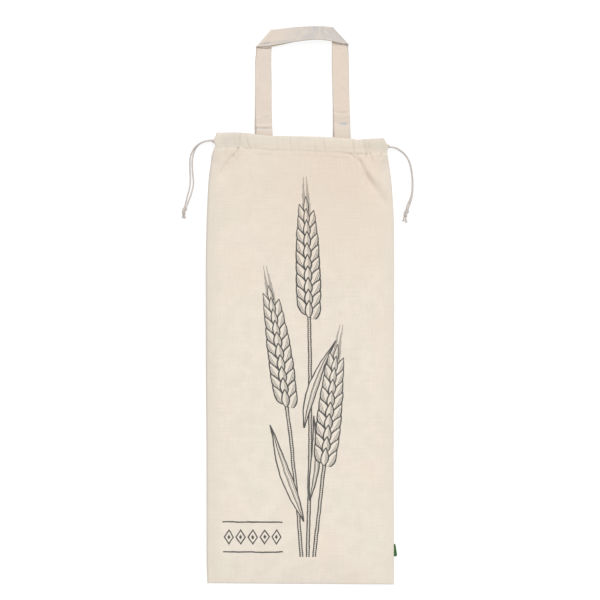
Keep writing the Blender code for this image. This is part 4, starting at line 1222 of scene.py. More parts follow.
def ribbon(name, label):
    """A plain woven ribbon: fine ribs, with a painted highlight where the picks cross them."""
    m = Maker(name)
    across, along = m.flat()
    ribs = (across / RIB_PITCH * math.pi).sine() * 0.5 + 0.5
    picks = (along / PICK_PITCH * math.pi).sine() * 0.5 + 0.5
    base = m.mottled(m.noise_on(across, along, RIBBON_PATCH), RIBBON_MOTTLE, label.colour)
    # Painted highlight on the crossings
    base = m.blend(ribs * picks * RIBBON_PAINTED_GLEAM.share, base, shade(label.colour, RIBBON_PAINTED_GLEAM.by))
    m.set(
        Base_Color=base,
        Roughness=0.72,
        Specular_IOR_Level=0.25,
        Sheen_Weight=0.1,
        Normal=m.bump((ribs + picks) * RIBBON_RELIEF),
    )
    return m.material


PAPER_MOTTLE = Mottle(0.3, 0.7, 0.992, 1.0)


def paper(name, colour, glow):
    """The pale studio floor, which glows by itself, with a breath of grain."""
    m = Maker(name)
    place = m.add("ShaderNodeTexCoord", None, None, OBJECT_PLACE)
    fine = m.noise(place, 60.0, 3.0, 0.6)
    m.set(Base_Color=m.mottled(fine, PAPER_MOTTLE, colour), Roughness=0.95)
    m.set(Specular_IOR_Level=0.1, Emission_Color=(1.0, 1.0, 1.0, 1.0), Emission_Strength=glow)
    return m.material


# ---------------------------------------------------------------- settings


def a_length(name, description, default):
    return FloatProperty(name=name, description=description, default=default, unit="LENGTH")


def an_angle(name, description, degrees):
    return FloatProperty(name=name, description=description, default=math.radians(degrees), subtype="ANGLE")


def a_colour(name, description, default):
    return FloatVectorProperty(name=name, description=description, default=default, subtype="COLOR")


def a_strength(name, description, default):
    return FloatProperty(name=name, description=description, default=default, min=0.0)


class ClothSettings(bpy.types.PropertyGroup):
    """The linen of both panels."""

    thickness: a_length("Thickness", "Thickness of the linen", 0.0008)
    thread_pitch: a_length("Thread Pitch", "From one thread to the next", 0.00072)
    weave_height: a_length("Weave Height", "How far the threads stand out", 0.00011)
    colour: a_colour("Colour", "Colour of the linen", (0.83, 0.752, 0.652))
    grid: a_length("Grid", "Widest step of the front panel's mesh", 0.0038)


class InkSettings(bpy.types.PropertyGroup):
    """The print on the front panel."""

    show: BoolProperty(name="Show", description="Print the front panel", default=True)
    colour: a_colour("Colour", "Colour of the ink", (0.030, 0.034, 0.038))
    pen: a_length("Pen", "Width of the drawn lines", 0.0028)
    strength: FloatProperty(
        name="Strength",
        description="How well the ink covers",
        default=0.95,
        min=0.0,
        max=1.0,
        subtype="FACTOR",
    )


class TapeSettings(bpy.types.PropertyGroup):
    """The handles' tape."""

    thickness: a_length("Thickness", "Thickness of the tape", 0.0011)
    width: a_length("Width", "Width of the tape", 0.0268)
    weave_height: a_length("Weave Height", "How far the threads stand out", 0.00011)
    colour: a_colour("Colour", "Colour of the tape", (0.795, 0.695, 0.60))
    # Also scales the painted shade that greys the run and the creases
    greying: FloatProperty(
        name="Greying", description="How far patches of it turn grey", default=0.85, min=0.0, max=1.0
    )


class CordSettings(bpy.types.PropertyGroup):
    """The drawcords."""

    diameter: a_length("Diameter", "Thickness of a cord", 0.0022)
    plies: IntProperty(name="Plies", description="Yarns that are twisted together", default=3, min=2, max=6)
    lay_length: a_length("Lay", "Length of one turn of the twist", 0.0078)
    colour: a_colour("Colour", "Colour of the cotton", (0.66, 0.595, 0.553))
    fray: IntProperty(name="Fray", description="Loose fibres in each cut end", default=26, min=0, max=60)


class SewingSettings(bpy.types.PropertyGroup):
    """The row of stitches under the casing."""

    stitch: a_length("Stitch", "Length of a stitch", 0.0027)
    space: a_length("Space", "Between two stitches", 0.0009)
    thread: a_length("Thread", "Thickness of the thread", 0.0007)
    colour: a_colour("Colour", "Colour of the thread", (0.93, 0.88, 0.79))


class LabelSettings(bpy.types.PropertyGroup):
    """The plain tab in the side seam."""

    thickness: a_length("Thickness", "Thickness of the ribbon", 0.0003)
    colour: a_colour("Colour", "Colour of the ribbon", (0.035, 0.115, 0.028))


class StageSettings(bpy.types.PropertyGroup):
    """Floor, light and camera."""

    floor_colour: a_colour("Floor", "Colour of the floor", (0.2, 0.2, 0.2))
    floor_glow: a_strength("Glow", "How brightly the floor glows by itself", 0.83)
    key: a_strength("Key", "Strength of the main light", 1.5)
    key_angle: an_angle("Softness", "How wide the main light is", 22)
    key_height: an_angle("Height", "How high the main light stands", 58)
    key_turn: an_angle("Turn", "Where it stands, from +Y towards +X", 14)
    fill: a_strength("Fill", "Strength of the even light", 0.66)
    camera_height: a_length("Camera Height", "How far above the floor it looks from", 5.4)
    view_width: a_length("View Width", "What the picture takes in", 0.96)
    view_centre: FloatVectorProperty(
        name="View Centre", description="Middle of the picture", default=(0.0, 0.0085), size=2, unit="LENGTH"
    )


class BagSettings(bpy.types.PropertyGroup):
    """All that a user would change."""

    cloth: PointerProperty(type=ClothSettings)
    ink: PointerProperty(type=InkSettings)
    tape: PointerProperty(type=TapeSettings)
    cord: PointerProperty(type=CordSettings)
    sewing: PointerProperty(type=SewingSettings)
    label: PointerProperty(type=LabelSettings)
    stage: PointerProperty(type=StageSettings)


# ---------------------------------------------------------------- stage


FLOOR_HALF, FLOOR_GAP = 6.0, 0.0002


class BAG_OT_stage(bpy.types.Operator):
    """Makes the floor, the lights and the camera straight above the bag"""

    bl_idname = "bag.stage"
    bl_label = "Stage"

    def execute(self, context):
        stage = context.scene.bread_bag.stage
        self.floor(context, stage)
        self.lights(context, stage)
        self.camera(context, stage)
        context.scene.view_settings.view_transform = "Standard"
        return {"FINISHED"}

    def floor(self, context, stage):
        bm = bmesh.new()
        bmesh.ops.create_grid(bm, x_segments=1, y_segments=1, size=FLOOR_HALF)
        bmesh.ops.translate(bm, verts=bm.verts, vec=(0, 0, -FLOOR_GAP))
        floor = object_from(bm, "floor", paper("studio floor", stage.floor_colour, stage.floor_glow))
        context.scene.collection.objects.link(floor)

    def lights(self, context, stage):
        world = bpy.data.worlds.new("even light")
        world.use_nodes = True
        world.node_tree.nodes["Background"].inputs["Color"].default_value = (1.0, 1.0, 1.0, 1.0)
        world.node_tree.nodes["Background"].inputs["Strength"].default_value = stage.fill
        context.scene.world = world
        sun = bpy.data.lights.new("key light", "SUN")
        sun.energy = stage.key
        sun.angle = stage.key_angle
        key = bpy.data.objects.new("key light", sun)
        low = math.cos(stage.key_height)
        across, up = low * math.sin(stage.key_turn), math.sin(stage.key_height)
        towards = Vector((across, low * math.cos(stage.key_turn), up))
        key.rotation_euler = towards.to_track_quat("Z", "Y").to_euler()
        key.location = 2 * towards
        context.scene.collection.objects.link(key)

    def camera(self, context, stage):
        lens = bpy.data.cameras.new("camera")
        lens.sensor_width = 36.0
        lens.lens = lens.sensor_width * stage.camera_height / stage.view_width
        lens.clip_end = 50.0
        camera = bpy.data.objects.new("camera", lens)
        camera.location = (*stage.view_centre, stage.camera_height)
        context.scene.collection.objects.link(camera)
        context.scene.camera = camera


# ---------------------------------------------------------------- cords and knots


def casing_point(x, down, front):
    """A point on a drawcord's route inside the front or the back casing."""
    y = float(top_at(x)) - down
    z = float(inner_z(x, y)) + LAYER_STEP / 2 if front else (CLOTH_ROOM + LAYER_STEP) / 2
    return Vector((x, y, z))


def casing_end(side, down, front):
    """Where a drawcord comes out of a casing. side is -1 at the left and 1 at the right."""
    edge = float(sides_at(float(top_at(side * EXIT_X)) - down)[side > 0])
    return casing_point(edge + side * EXIT_OUT, down, front)


def casing_route(down, side):
    """The hidden part of the drawcord whose ends leave at that side."""
    runs = []
    for front in (True, False):
        start, end = casing_end(side, down, front), casing_end(-side, down, front)
        inside = [casing_point(x, down, front) for x in np.linspace(start.x, end.x, RUN_STEPS)]
        runs.append(through(inside, RUN_SPACING))
    top, low = runs[0][-1], runs[1][-1]
    middle, radius = (top + low) / 2, (top - low).length / 2
    turn = [
        middle + radius * Vector((-side * TURN_OUT * math.sin(angle), 0, math.cos(angle)))
        for angle in (math.pi * k / TURN_STEPS for k in range(1, TURN_STEPS))
    ]
    return [*runs[0], *turn, *reversed(runs[1])]


def strand_route(side, down, front, points, knot, beside):
    """A drawcord's free end, from the casing to its knot."""
    start, out = casing_end(side, down, front), Vector((side, 0, 0))
    turn = Matrix.Rotation(math.radians(knot.turn), 3, "Z")
    end = Vector((knot.x, knot.y, KNOT_Z)) + turn @ Vector((beside, KNOT_LONG / 2 + KNOT_GAP, 0))
    return through([start + GAP * out, start + (GAP + CORD) * out, *points, end], STRAND_SPACING)


STRANDS = {
    "left_strand_front": (-1, LEFT_RUN_DOWN, True, LEFT_FRONT_STRAND, LEFT_KNOT, -KNOT_BESIDE),
    "left_strand_back": (-1, LEFT_RUN_DOWN, False, LEFT_BACK_STRAND, LEFT_KNOT, KNOT_BESIDE),
    "right_strand_front": (1, RIGHT_RUN_DOWN, True, RIGHT_FRONT_STRAND, RIGHT_KNOT, KNOT_BESIDE),
    "right_strand_back": (1, RIGHT_RUN_DOWN, False, RIGHT_BACK_STRAND, RIGHT_KNOT, -KNOT_BESIDE),
}
CASINGS = {"left_cord_casing": (LEFT_RUN_DOWN, -1), "right_cord_casing": (RIGHT_RUN_DOWN, 1)}
KNOTS = {"left_knot": LEFT_KNOT, "right_knot": RIGHT_KNOT}


Turn = namedtuple("Turn", "along lean size")
KNOT_TURNS = [Turn(3.4, 24, 0.84), Turn(0.6, 34, 1.0), Turn(-2.6, -28, 0.95)]
KNOT_TURN_WIDE, KNOT_TURN_HIGH = 3.1, 1.75  # half of a turn's middle line
KNOT_CORD = 1.2  # a cord swells by this much where it is knotted
SLACK_SPREAD = 1.2  # and lies this much wider than high where it is slack


KNOT_TURN_STEPS, KNOT_TURN_SWAY = 20, 0.35
KNOT_INSIDE = [Point(1.1, 1.8, 0.2), Point(1.0, -1.6, 0.2), Point(0.9, -KNOT_LONG / 2, -0.3)]
TAIL_ROOT = Point(0.9, 0.6 - KNOT_LONG / 2, -0.2)
TAIL_TIP_Z, TAIL_CORD = 1.5, 1.05
TAIL_BENDS, TAIL_FRAYS = 0.22, 0.42  # shares of a tail
# Ranges for each loose yarn of a cut end, and how low it may lie
FRAY = namedtuple("Fray", "start out along bend thick")(
    (0.15, 0.75), (0.5, 2.3), (-0.16, 0.10), (-0.25, 0.35), (0.26, 0.40)
)
FRAY_BACK, FRAY_BENDS, FRAY_LOWEST = 0.12, 0.55, 0.35
YARN_SIDES, YARN_TAPER = 5, 0.75


def knot_ropes():
    """The cords of an overhand knot, in its own place: two through it, and the turns round them."""
    ropes = []
    for side in (-1, 1):
        inside = [Vector((side * point.x, point.y, point.z)) for point in KNOT_INSIDE]
        ropes.append([Vector((side * KNOT_BESIDE, KNOT_LONG / 2 + KNOT_GAP, 0.0)), *inside])
    for made in KNOT_TURNS:
        turn = Matrix.Rotation(math.radians(made.lean), 3, "Z")
        ring = []
        for k in range(KNOT_TURN_STEPS + 1):
            a = 2 * math.pi * k / KNOT_TURN_STEPS
            x, z = made.size * KNOT_TURN_WIDE * math.cos(a), made.size * KNOT_TURN_HIGH * math.sin(a)
            ring.append(Vector((0, made.along, 0)) + turn @ Vector((x, KNOT_TURN_SWAY * math.sin(2 * a), z)))
        ropes.append(ring)
    return ropes


class BAG_OT_cords(bpy.types.Operator):
    """Makes both drawcords: their run in the casing, their free ends and their knots"""

    bl_idname = "bag.cords"
    bl_label = "Drawcords"

    def execute(self, context):
        cord = context.scene.bread_bag.cord
        cotton = twine("cotton cord", cord)
        knots = {name: self.knot(name, knot, cord, cotton) for name, knot in KNOTS.items()}
        for name, facts in CASINGS.items():
            self.rope(name, casing_route(*facts), cord, cotton)
        for name, facts in STRANDS.items():
            path = strand_route(*facts)
            strand = self.rope(name, path, cord, cotton, SLACK_SPREAD)
            side = "left" if facts[0] < 0 else "right"
            knots[side + "_knot"]
        return {"FINISHED"}

    def rope(self, name, path, cord, material, spread=1.0):
        """One part of a drawcord, in place of the solid of that name."""
        bm = bmesh.new()
        add_rope(bm, path, cord.diameter / MM / 2, cord, spread)
        bmesh.ops.recalc_face_normals(bm, faces=bm.faces)
        return finish_object(object_from(bm, name + "_twist", material), [name])

    def knot(self, name, knot, cord, material):
        bm = bmesh.new()
        radius = cord.diameter / MM / 2
        place = Matrix.Translation(Vector((knot.x, knot.y, KNOT_Z)))
        place = place @ Matrix.Rotation(math.radians(knot.turn), 4, "Z")
        for rope in knot_ropes():
            path = [place @ point for point in through(rope, KNOT_SPACING)]
            add_rope(bm, path, radius * KNOT_CORD, cord)
        chance = random.Random(len(name))
        for x, y in knot.tails:
            side = 1 if x > knot.x - 1 else -1
            root = place @ Vector((side * TAIL_ROOT.x, TAIL_ROOT.y, TAIL_ROOT.z))
            tip = Vector((x, y, TAIL_TIP_Z))
            neck = root.lerp(tip, TAIL_FRAYS)
            path = through([root, root.lerp(tip, TAIL_BENDS), neck], KNOT_SPACING)
            add_rope(bm, path, radius * TAIL_CORD, cord)
            self.fray(bm, neck, tip, radius, cord.fray, chance)
        bmesh.ops.recalc_face_normals(bm, faces=bm.faces)
        return finish_object(object_from(bm, name + "_tied", material), [name])

    def fray(self, bm, neck, tip, radius, count, chance):
        """Loose yarns that fan out of a cut end."""
        along = tip - neck
        for k in range(count):
            turn = 2 * math.pi * k / count
            spread = Vector((math.cos(turn), 0.0, math.sin(turn)))
            start = neck - along * FRAY_BACK + spread * radius * chance.uniform(*FRAY.start)
            end = tip + spread * chance.uniform(*FRAY.out) + along * chance.uniform(*FRAY.along)
            end.z = max(end.z, FRAY_LOWEST)
            bend = start.lerp(end, FRAY_BENDS) + spread * chance.uniform(*FRAY.bend)
            bend.z = max(bend.z, FRAY_LOWEST)
            yarn = through([start, bend, end], YARN_SPACING)
            self.yarn(bm, yarn, chance.uniform(*FRAY.thick))

    def yarn(self, bm, points, radius):
        frames = frames_along(points)
        rings = len(points) - 1
        grid = grid_on(bm, YARN_SIDES, rings)
        for vertex, place, ring in grid:
            turn = 2 * math.pi * place / YARN_SIDES
            tangent, across = frames[ring]
            size = radius * (1 - YARN_TAPER * (ring / rings) ** 3)
            vertex.co = (points[ring] + size * (Quaternion(tangent, turn) @ across)) * MM
        bmesh.ops.remove_doubles(bm, verts=[vertex for vertex, _, _ in grid], dist=WELD)
        kept = [vertex for vertex, _, _ in grid if vertex.is_valid]
        edges = {edge for vertex in kept for edge in vertex.link_edges if edge.is_boundary}
        bmesh.ops.holes_fill(bm, edges=list(edges), sides=0)


# ---------------------------------------------------------------- panels


PANEL_WIDE = 300.0
# How close the front's columns stand: within so many widths of a pleat, this share of the widest step
Close = namedtuple("Close", "widths share")
AT_PLEAT, NEAR_PLEAT = Close(2, 0.16), Close(3.5, 0.3)
# Steps of the front's rows up to each height, as shares of the widest step
Pace = namedtuple("Pace", "below share")
ROW_PACES = [Pace(110, 2.6), Pace(236, 0.62), Pace(STITCH_ROW_Y, 0.32)]
BOTTOM_ROWS = namedtuple("Rows", "high step")(6.0, 1.3)
LEAST_COLUMN, LEAST_ROW = 0.5, 0.4
HEM_LOW, HEM_HIGH, FOLD_ARC = (0.06, 0.24, 4), (0.32, 0.92, 7), (90, -90, 9)  # first, last and count
INNER_SLACK = 3.0


def front_columns(grid):
    """Shares across the front panel, closer together at each pleat."""
    left, right = sides_at(STITCH_ROW_Y)
    places = [left]
    while places[-1] < right - LEAST_COLUMN:
        x = places[-1]
        near = min(abs(x - mix(pleat.top_x, pleat.low_x, 0.5)) / pleat.width for pleat in PLEATS)
        fine = any(span.left < x < span.right for span in FINE_COLUMNS)
        share = 1.0
        if near < AT_PLEAT.widths:
            share = AT_PLEAT.share
        elif fine or near < NEAR_PLEAT.widths:
            share = NEAR_PLEAT.share
        places.append(min(x + grid * share, right))
    return (np.array(places) - left) / (right - left)


def body_rows(grid):
    """Heights of the front panel's rows, closer together under the casing."""
    rows = [SIDES[0].y]
    while rows[-1] < STITCH_ROW_Y - LEAST_ROW:
        y = rows[-1]
        step = next(grid * pace.share for pace in ROW_PACES if y < pace.below)
        if y < SIDES[0].y + BOTTOM_ROWS.high:
            step = BOTTOM_ROWS.step
        rows.append(min(y + step, STITCH_ROW_Y))
    return np.array(rows)


def body_grid(rows, u):
    """A panel's points below the stitches: (x, y, height of the stitches above each)."""
    left, right = sides_at(rows)
    x = mix(left[:, None], right[:, None], u[None, :])
    share = ((rows - rows[0]) / (rows[-1] - rows[0]))[:, None]
    stitch_y = top_at(x) - HEM_DEPTH
    return x, mix(bottom_at(x), stitch_y, share), stitch_y


def hem_grid(u, outer_side):
    """A hem's middle surface, from just above the stitches, up its outer layer, over the fold and down its
    inner layer: (points, distance along the cloth from the stitches). outer_side is 1 for the front panel,
    whose outer layer is the upper one, and -1 for the back panel."""
    front = outer_side > 0
    shares = np.concatenate([np.linspace(*HEM_LOW), np.linspace(*HEM_HIGH)])
    levels = [(share, None, True) for share in shares]
    levels += [(1.0, angle, True) for angle in np.radians(np.linspace(*FOLD_ARC))]
    levels += [(share, None, False) for share in shares[::-2]]
    points, depths = [], []
    for share, angle, outer in levels:
        left, right = sides_at(mix(STITCH_ROW_Y, TOP_ROW_Y, share))
        x = mix(left, right, u)
        fold_y = top_at(x) - HEM_FOLD - CLOTH_ROOM / 2
        y = mix(top_at(x) - HEM_DEPTH, fold_y, share)
        gathered, rise, floor = np.zeros(len(u)), 0.0, np.full(len(u), CLOTH_ROOM / 2)
        if front:
            puff = float(smooth(share, PUFF_PLACES, PUFF))
            gathered = puff * gather_at(x, y) - STITCH_PULL * stitch_groove(share * HEM_DEPTH)
            rise, floor = block_rise(x, y), inner_z(x, fold_y)
        if angle is None:
            step = hem_step(share) + gathered
            z = floor + step * (outer == front) + (rise if outer else 0.0)
            depths.append((share if outer else 2 - share) * HEM_DEPTH)
        else:
            radius = HEM_FOLD + gathered / 2
            middle = radius if front else HEM_FOLD
            y = fold_y + HEM_FOLD * math.cos(angle)
            z = floor + middle + radius * math.sin(angle) * outer_side + rise * max(math.sin(angle), 0.0)
            depths.append(HEM_DEPTH + HEM_FOLD * (math.pi / 2 - angle) - INNER_SLACK)
        points.append(np.stack([x, y, z], axis=-1))
    return np.array(points), np.array(depths)


def panel_sheet(name, body, u, outer_side, thickness, material):
    """A panel from the grid of its body and the hem that follows it."""
    hem, depths = hem_grid(u, outer_side)
    points = np.concatenate([body, hem])
    flat = np.zeros((*points.shape[:2], 2))
    flat[..., 0] = (u - 0.5) * PANEL_WIDE
    flat[: len(body), :, 1] = body[..., 1]
    flat[len(body) :, :, 1] = body[-1, :, 1] + depths[:, None]
    return sheet_from(name, points, flat, thickness, material)


class BAG_OT_front(bpy.types.Operator):
    """Makes the printed front panel with its gathered casing"""

    bl_idname = "bag.front"
    bl_label = "Front Panel"

    def execute(self, context):
        bag = context.scene.bread_bag
        grid = bag.cloth.grid / MM
        u = front_columns(grid)
        x, y, stitch_y = body_grid(body_rows(grid), u)
        body = np.stack([x, y, body_z(x, y, stitch_y)], axis=-1)
        material = linen("printed linen", bag.cloth, bag.ink if bag.ink.show else None)
        cloth = panel_sheet("front_cloth", body, u, 1, bag.cloth.thickness, material)
        finish_object(cloth, ["front_panel"])
        return {"FINISHED"}


class BAG_OT_back(bpy.types.Operator):
    """Makes the back panel, flat on the floor, with its casing"""

    bl_idname = "bag.back"
    bl_label = "Back Panel"

    columns = 44
    rows = 90
    peek = 1.1  # the back panel's top edge shows this much past the front one's, at the left
    peek_x, peek_y, peek_over = -60.0, 240.0, 30.0

    def execute(self, context):
        cloth = context.scene.bread_bag.cloth
        u = np.linspace(0.0, 1.0, self.columns)
        x, y, _ = body_grid(np.linspace(SIDES[0].y, STITCH_ROW_Y, self.rows), u)
        body = np.stack([x, y, np.full(x.shape, CLOTH_ROOM / 2)], axis=-1)
        made = panel_sheet("back_cloth", body, u, -1, cloth.thickness, linen("plain linen", cloth))
        for vertex in made.data.vertices:
            x, y = vertex.co.x / MM, vertex.co.y / MM
            raised = ease((y - self.peek_y) / self.peek_over) * ease((self.peek_x - x) / self.peek_over)
            vertex.co.y += float(raised) * self.peek * MM
            vertex.co.z -= (CLOTH_ROOM * MM - cloth.thickness) / 2
        finish_object(made, ["back_panel"])
        return {"FINISHED"}


# ---------------------------------------------------------------- handles


def leg_rows(leg, front):
    rows = []
    for part in leg:
        z = part.front_z if front else part.back_z
        peek = 0.0 if front else -BACK_PEEK * (1 - ease((part.y - leg[1].y) / (PEEK_ENDS - leg[1].y)))
        rows.append(((part.edge1_x + peek, part.y, z), (part.edge2_x + peek, part.y, z)))
    return rows


def fold_rows(fold, leg, front):
    """The sections round a slanting fold, from the leg up to the run."""
    low = leg[-1].front_z if front else leg[-1].back_z
    high = FRONT_RUN_Z if front else BACK_RUN_Z
    radius = (high - low) / 2
    shift, bulge = (0.0, radius) if front else (BACK_FOLD_OUT, BACK_FOLD_BULGE)
    along = Vector((fold.edge2_x - fold.edge1_x, fold.edge2_y - fold.edge1_y)).normalized()
    out = Vector((-along.y, along.x))
    if out.y < 0:
        out = -out
    rows = []
    for k in range(FOLD_STEPS + 1):
        angle = math.pi * k / FOLD_STEPS
        slide = along * (FOLD_SLIDE * math.pi * bulge * (k / FOLD_STEPS - 0.5))
        push, z = out * (shift + bulge * math.sin(angle)) + slide, low + radius * (1 - math.cos(angle))
        edge1 = (fold.edge1_x + push.x, fold.edge1_y + push.y, z)
        edge2 = (fold.edge2_x + push.x, fold.edge2_y + push.y, z)
        rows.append((edge1, edge2))
    return rows


def handle_sections(front):
    """The two edges of a handle's tape, from the foot of its left leg to that of its right leg."""
    run_z = FRONT_RUN_Z if front else BACK_RUN_Z
    run = []
    for part in RUN:
        share = (part.edge1_x - RUN[0].edge1_x) / (RUN_PEEK_ENDS - RUN[0].edge1_x)
        down = RUN_PEEK * (1 - ease(share)) if front else 0.0
        edge1 = (part.edge1_x, part.edge1_y - down, run_z + part.edge1_rise)
        edge2 = (part.edge2_x, part.edge2_y - down, run_z + part.edge2_rise)
        run.append((edge1, edge2))
    sections = [
        *leg_rows(LEFT_LEG, front),
        *fold_rows(LEFT_FOLD, LEFT_LEG, front),
        *run,
        *reversed(fold_rows(RIGHT_FOLD, RIGHT_LEG, front)),
        *reversed(leg_rows(RIGHT_LEG, front)),
    ]
    return np.array(sections, float)


def dents(points):
    """How far the creases across the legs sink a tape's points."""
    total = np.zeros(points.shape[:2])
    for dent in DENTS:
        here = points[..., 0] > 0 if dent.right else points[..., 0] < 0
        waver = (DENT_WAVER * points[..., 0]) % 1.0
        away = np.abs(points[..., 1] - dent.y - waver) / dent.width
        total += here * dent.depth * np.exp(-(away**DENT_POWER))
    return total


class BAG_OT_handles(bpy.types.Operator):
    """Makes both handles, folded over at the top"""

    bl_idname = "bag.handles"
    bl_label = "Handles"

    def execute(self, context):
        bag = context.scene.bread_bag
        material = tape_cloth("handle tape", bag.tape)
        for name, front in (("front_handle", True), ("back_handle", False)):
            self.tape(name, front, bag.tape, material)
        return {"FINISHED"}

    def tape(self, name, front, tape, material):
        sections = handle_sections(front)
        middle = sections.mean(axis=1)
        along = running(np.linalg.norm(np.diff(middle, axis=0), axis=1))
        edges = [np.linalg.norm(np.diff(sections[:, k], axis=0), axis=1) for k in (0, 1)]
        pace = running(np.maximum(np.maximum(*edges), LEAST_PACE))
        fine = np.linspace(0.0, pace[-1], round(pace[-1] / TAPE_STEP))
        fine = np.unique(np.concatenate([fine, pace]))
        rails = []
        for k in (0, 1):
            axes = [smooth(fine, pace, sections[:, k, axis]) for axis in range(3)]
            rails.append(np.stack(axes, axis=-1))
        t = np.linspace(0.0, 1.0, TAPE_COLUMNS + 1)
        points = mix(rails[0][:, None], rails[1][:, None], t[None, :, None])
        arched = 0.5 + 0.5 * np.sin(fine / CUP.turns)
        points[..., 2] += CUP.height * np.sin(np.pi * t)[None, :] * arched[:, None]
        if front:
            points[..., 2] -= dents(points)
        else:
            x, y = points[..., 0], points[..., 1]
            trough = RUN_TROUGH
            on_run = ease((trough.ends - x) / TROUGH_ENDS) * ease((x - trough.starts) / TROUGH_STARTS)
            across = np.exp(-(((t[None, :] - trough.at) / trough.wide) ** 2))
            points[..., 2] -= trough.depth * on_run * (y > trough.low) * across
        flat = np.zeros((*points.shape[:2], 2))
        flat[..., 0] = (t - 0.5) * tape.width / MM
        flat[..., 1] = np.interp(fine, pace, along)[:, None]
        piece = sheet_from(name + "_tape", points, flat, tape.thickness, material)
        finish_object(piece, [name])


# ---------------------------------------------------------------- stitches and label


def stitch_z(x, y):
    """Middle of the front panel on the row of stitches."""
    gathered = PUFF[0] * float(gather_at(x, y))
    return float(inner_z(x, y)) + STITCH_STEP + gathered - STITCH_PULL + float(block_rise(x, y))


ROW_ENDS, ROW_STARTS = 3.0, 1.8  # what the row leaves free in all, and at its left
STITCH_STRAY = 0.12  # how far a stitch may lie off the row
SLOPE_STEP = 0.5  # over which the cloth's slope is read
STITCH_SIDES = 6


class BAG_OT_stitches(bpy.types.Operator):
    """Sews the row of stitches under the casing"""

    bl_idname = "bag.stitches"
    bl_label = "Stitches"

    def execute(self, context):
        bag = context.scene.bread_bag
        sewing = bag.sewing
        pitch = (sewing.stitch + sewing.space) / MM
        left, right = (float(edge) for edge in sides_at(STITCH_ROW_Y))
        bm = bmesh.new()
        count = int((right - left - ROW_ENDS) / pitch)
        chance = random.Random(7)
        for k in range(count):
            x = left + ROW_STARTS + (k + 0.5) * pitch
            y = float(top_at(x)) - HEM_DEPTH + chance.uniform(-STITCH_STRAY, STITCH_STRAY)
            ahead = x + SLOPE_STEP
            slope_y = (float(top_at(ahead)) - float(top_at(x))) / SLOPE_STEP
            z = stitch_z(x, y) + bag.cloth.thickness / MM / 2
            slope_z = (stitch_z(ahead, y) - stitch_z(x, y)) / SLOPE_STEP
            self.stitch(bm, Vector((x, y, z)), Vector((1, slope_y, slope_z)).normalized(), sewing)
        thread = object_from(bm, "casing_stitches", thread_material("sewing thread", sewing.colour))
        finish_object(thread, ())
        return {"FINISHED"}

    def stitch(self, bm, centre, along, sewing):
        """One stitch: a short thread that dives into the cloth at both ends."""
        sides = {"u_segments": STITCH_SIDES, "v_segments": STITCH_SIDES}
        made = bmesh.ops.create_uvsphere(bm, **sides, radius=1.0)["verts"]
        thick = sewing.thread / 2
        bmesh.ops.scale(bm, vec=(thick, thick, sewing.stitch / 2), verts=made)
        turn = along.to_track_quat("Z", "Y").to_matrix().to_4x4()
        bmesh.ops.transform(bm, matrix=Matrix.Translation(centre * MM) @ turn, verts=made)


LABEL_ROWS = 15
LABEL_INSET = 0.15
LABEL_REACHES = (0.0, 0.35, 0.7, 0.92)  # shares of the way from the seam to the fold
LABEL_FOLD_ANGLES = range(-90, 91, 30)
# The label's lower and upper corners are rounded: how far in, over this share of its length
Corner = namedtuple("Corner", "away over")
LOW_CORNER, HIGH_CORNER = Corner(1.4, 0.12), Corner(0.8, 0.1)


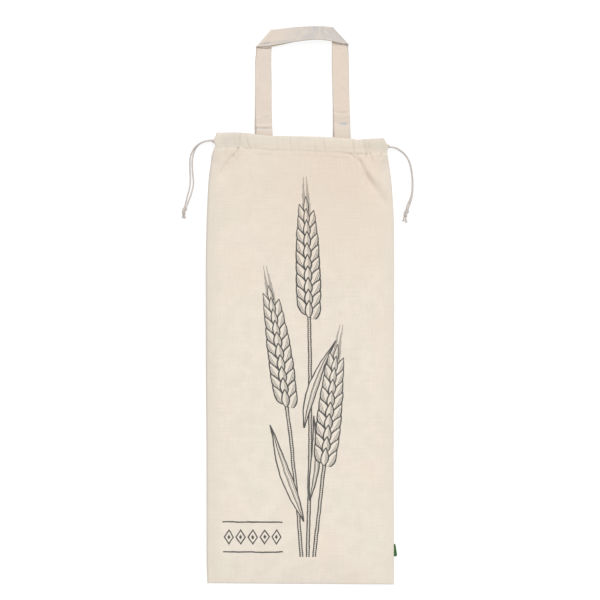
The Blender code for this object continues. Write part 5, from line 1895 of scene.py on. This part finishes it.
class BAG_OT_label(bpy.types.Operator):
    """Makes the plain folded tab in the side seam"""

    bl_idname = "bag.label"
    bl_label = "Side Label"

    def execute(self, context):
        label = context.scene.bread_bag.label
        rows = np.linspace(LABEL_BOTTOM, LABEL_TOP, LABEL_ROWS)
        seam = sides_at(rows)[1]
        share = (rows - LABEL_BOTTOM) / (LABEL_TOP - LABEL_BOTTOM)
        out = mix(LABEL_OUT_BOTTOM, LABEL_OUT_TOP, share)
        out = out - LOW_CORNER.away * ease(1 - share / LOW_CORNER.over)
        out = out - HIGH_CORNER.away * ease((share - 1 + HIGH_CORNER.over) / HIGH_CORNER.over)
        low, high = LABEL_LOW + LABEL_INSET, LABEL_HIGH - LABEL_INSET
        radius = (high - low) / 2

        def column(reach, z):
            return seam - LABEL_IN + reach * (LABEL_IN + out - radius), np.full(LABEL_ROWS, z)

        columns = [column(reach, low) for reach in LABEL_REACHES]
        for angle in map(math.radians, LABEL_FOLD_ANGLES):
            x, z = radius * math.cos(angle), low + radius + radius * math.sin(angle)
            columns.append((seam + out - radius + x, np.full(LABEL_ROWS, z)))
        columns += [column(reach, high) for reach in reversed(LABEL_REACHES)]
        points = np.stack([np.stack([x, rows, z], axis=-1) for x, z in columns], axis=1)
        steps = np.linalg.norm(np.diff(points, axis=1), axis=2)
        flat = np.zeros((*points.shape[:2], 2))
        flat[:, 1:, 0] = np.cumsum(steps, axis=1)
        flat[..., 1] = rows[:, None]
        tab = sheet_from("side_tab", points, flat, label.thickness, ribbon("label ribbon", label))
        finish_object(tab, ["side_label"])
        return {"FINISHED"}


# ---------------------------------------------------------------- panel and main


class BAG_PT_panel(bpy.types.Panel):
    """Lists the bag's makers and their settings"""

    bl_label = "Bread Bag"
    bl_idname = "BAG_PT_panel"
    bl_space_type = "VIEW_3D"
    bl_region_type = "UI"
    bl_category = "Bread Bag"

    def draw(self, context):
        for operator in OPERATORS:
            self.layout.operator(operator.bl_idname)
        bag = context.scene.bread_bag
        for group in (bag.cloth, bag.ink, bag.tape, bag.cord, bag.sewing, bag.label, bag.stage):
            box = self.layout.box()
            for name in group.__annotations__:
                box.prop(group, name)


SETTINGS = (
    ClothSettings,
    InkSettings,
    TapeSettings,
    CordSettings,
    SewingSettings,
    LabelSettings,
    StageSettings,
    BagSettings,
)
OPERATORS = (
    BAG_OT_stage,
    BAG_OT_cords,
    BAG_OT_front,
    BAG_OT_back,
    BAG_OT_handles,
    BAG_OT_stitches,
    BAG_OT_label,
)


def register():
    for made in (*SETTINGS, *OPERATORS, BAG_PT_panel):
        bpy.utils.register_class(made)
    bpy.types.Scene.bread_bag = PointerProperty(type=BagSettings)


def unregister():
    del bpy.types.Scene.bread_bag
    for made in reversed((*SETTINGS, *OPERATORS, BAG_PT_panel)):
        bpy.utils.unregister_class(made)


def main():
    register()
    for operator in OPERATORS:
        group, name = operator.bl_idname.split(".")
        getattr(getattr(bpy.ops, group), name)()


if __name__ == "__main__":
    main()
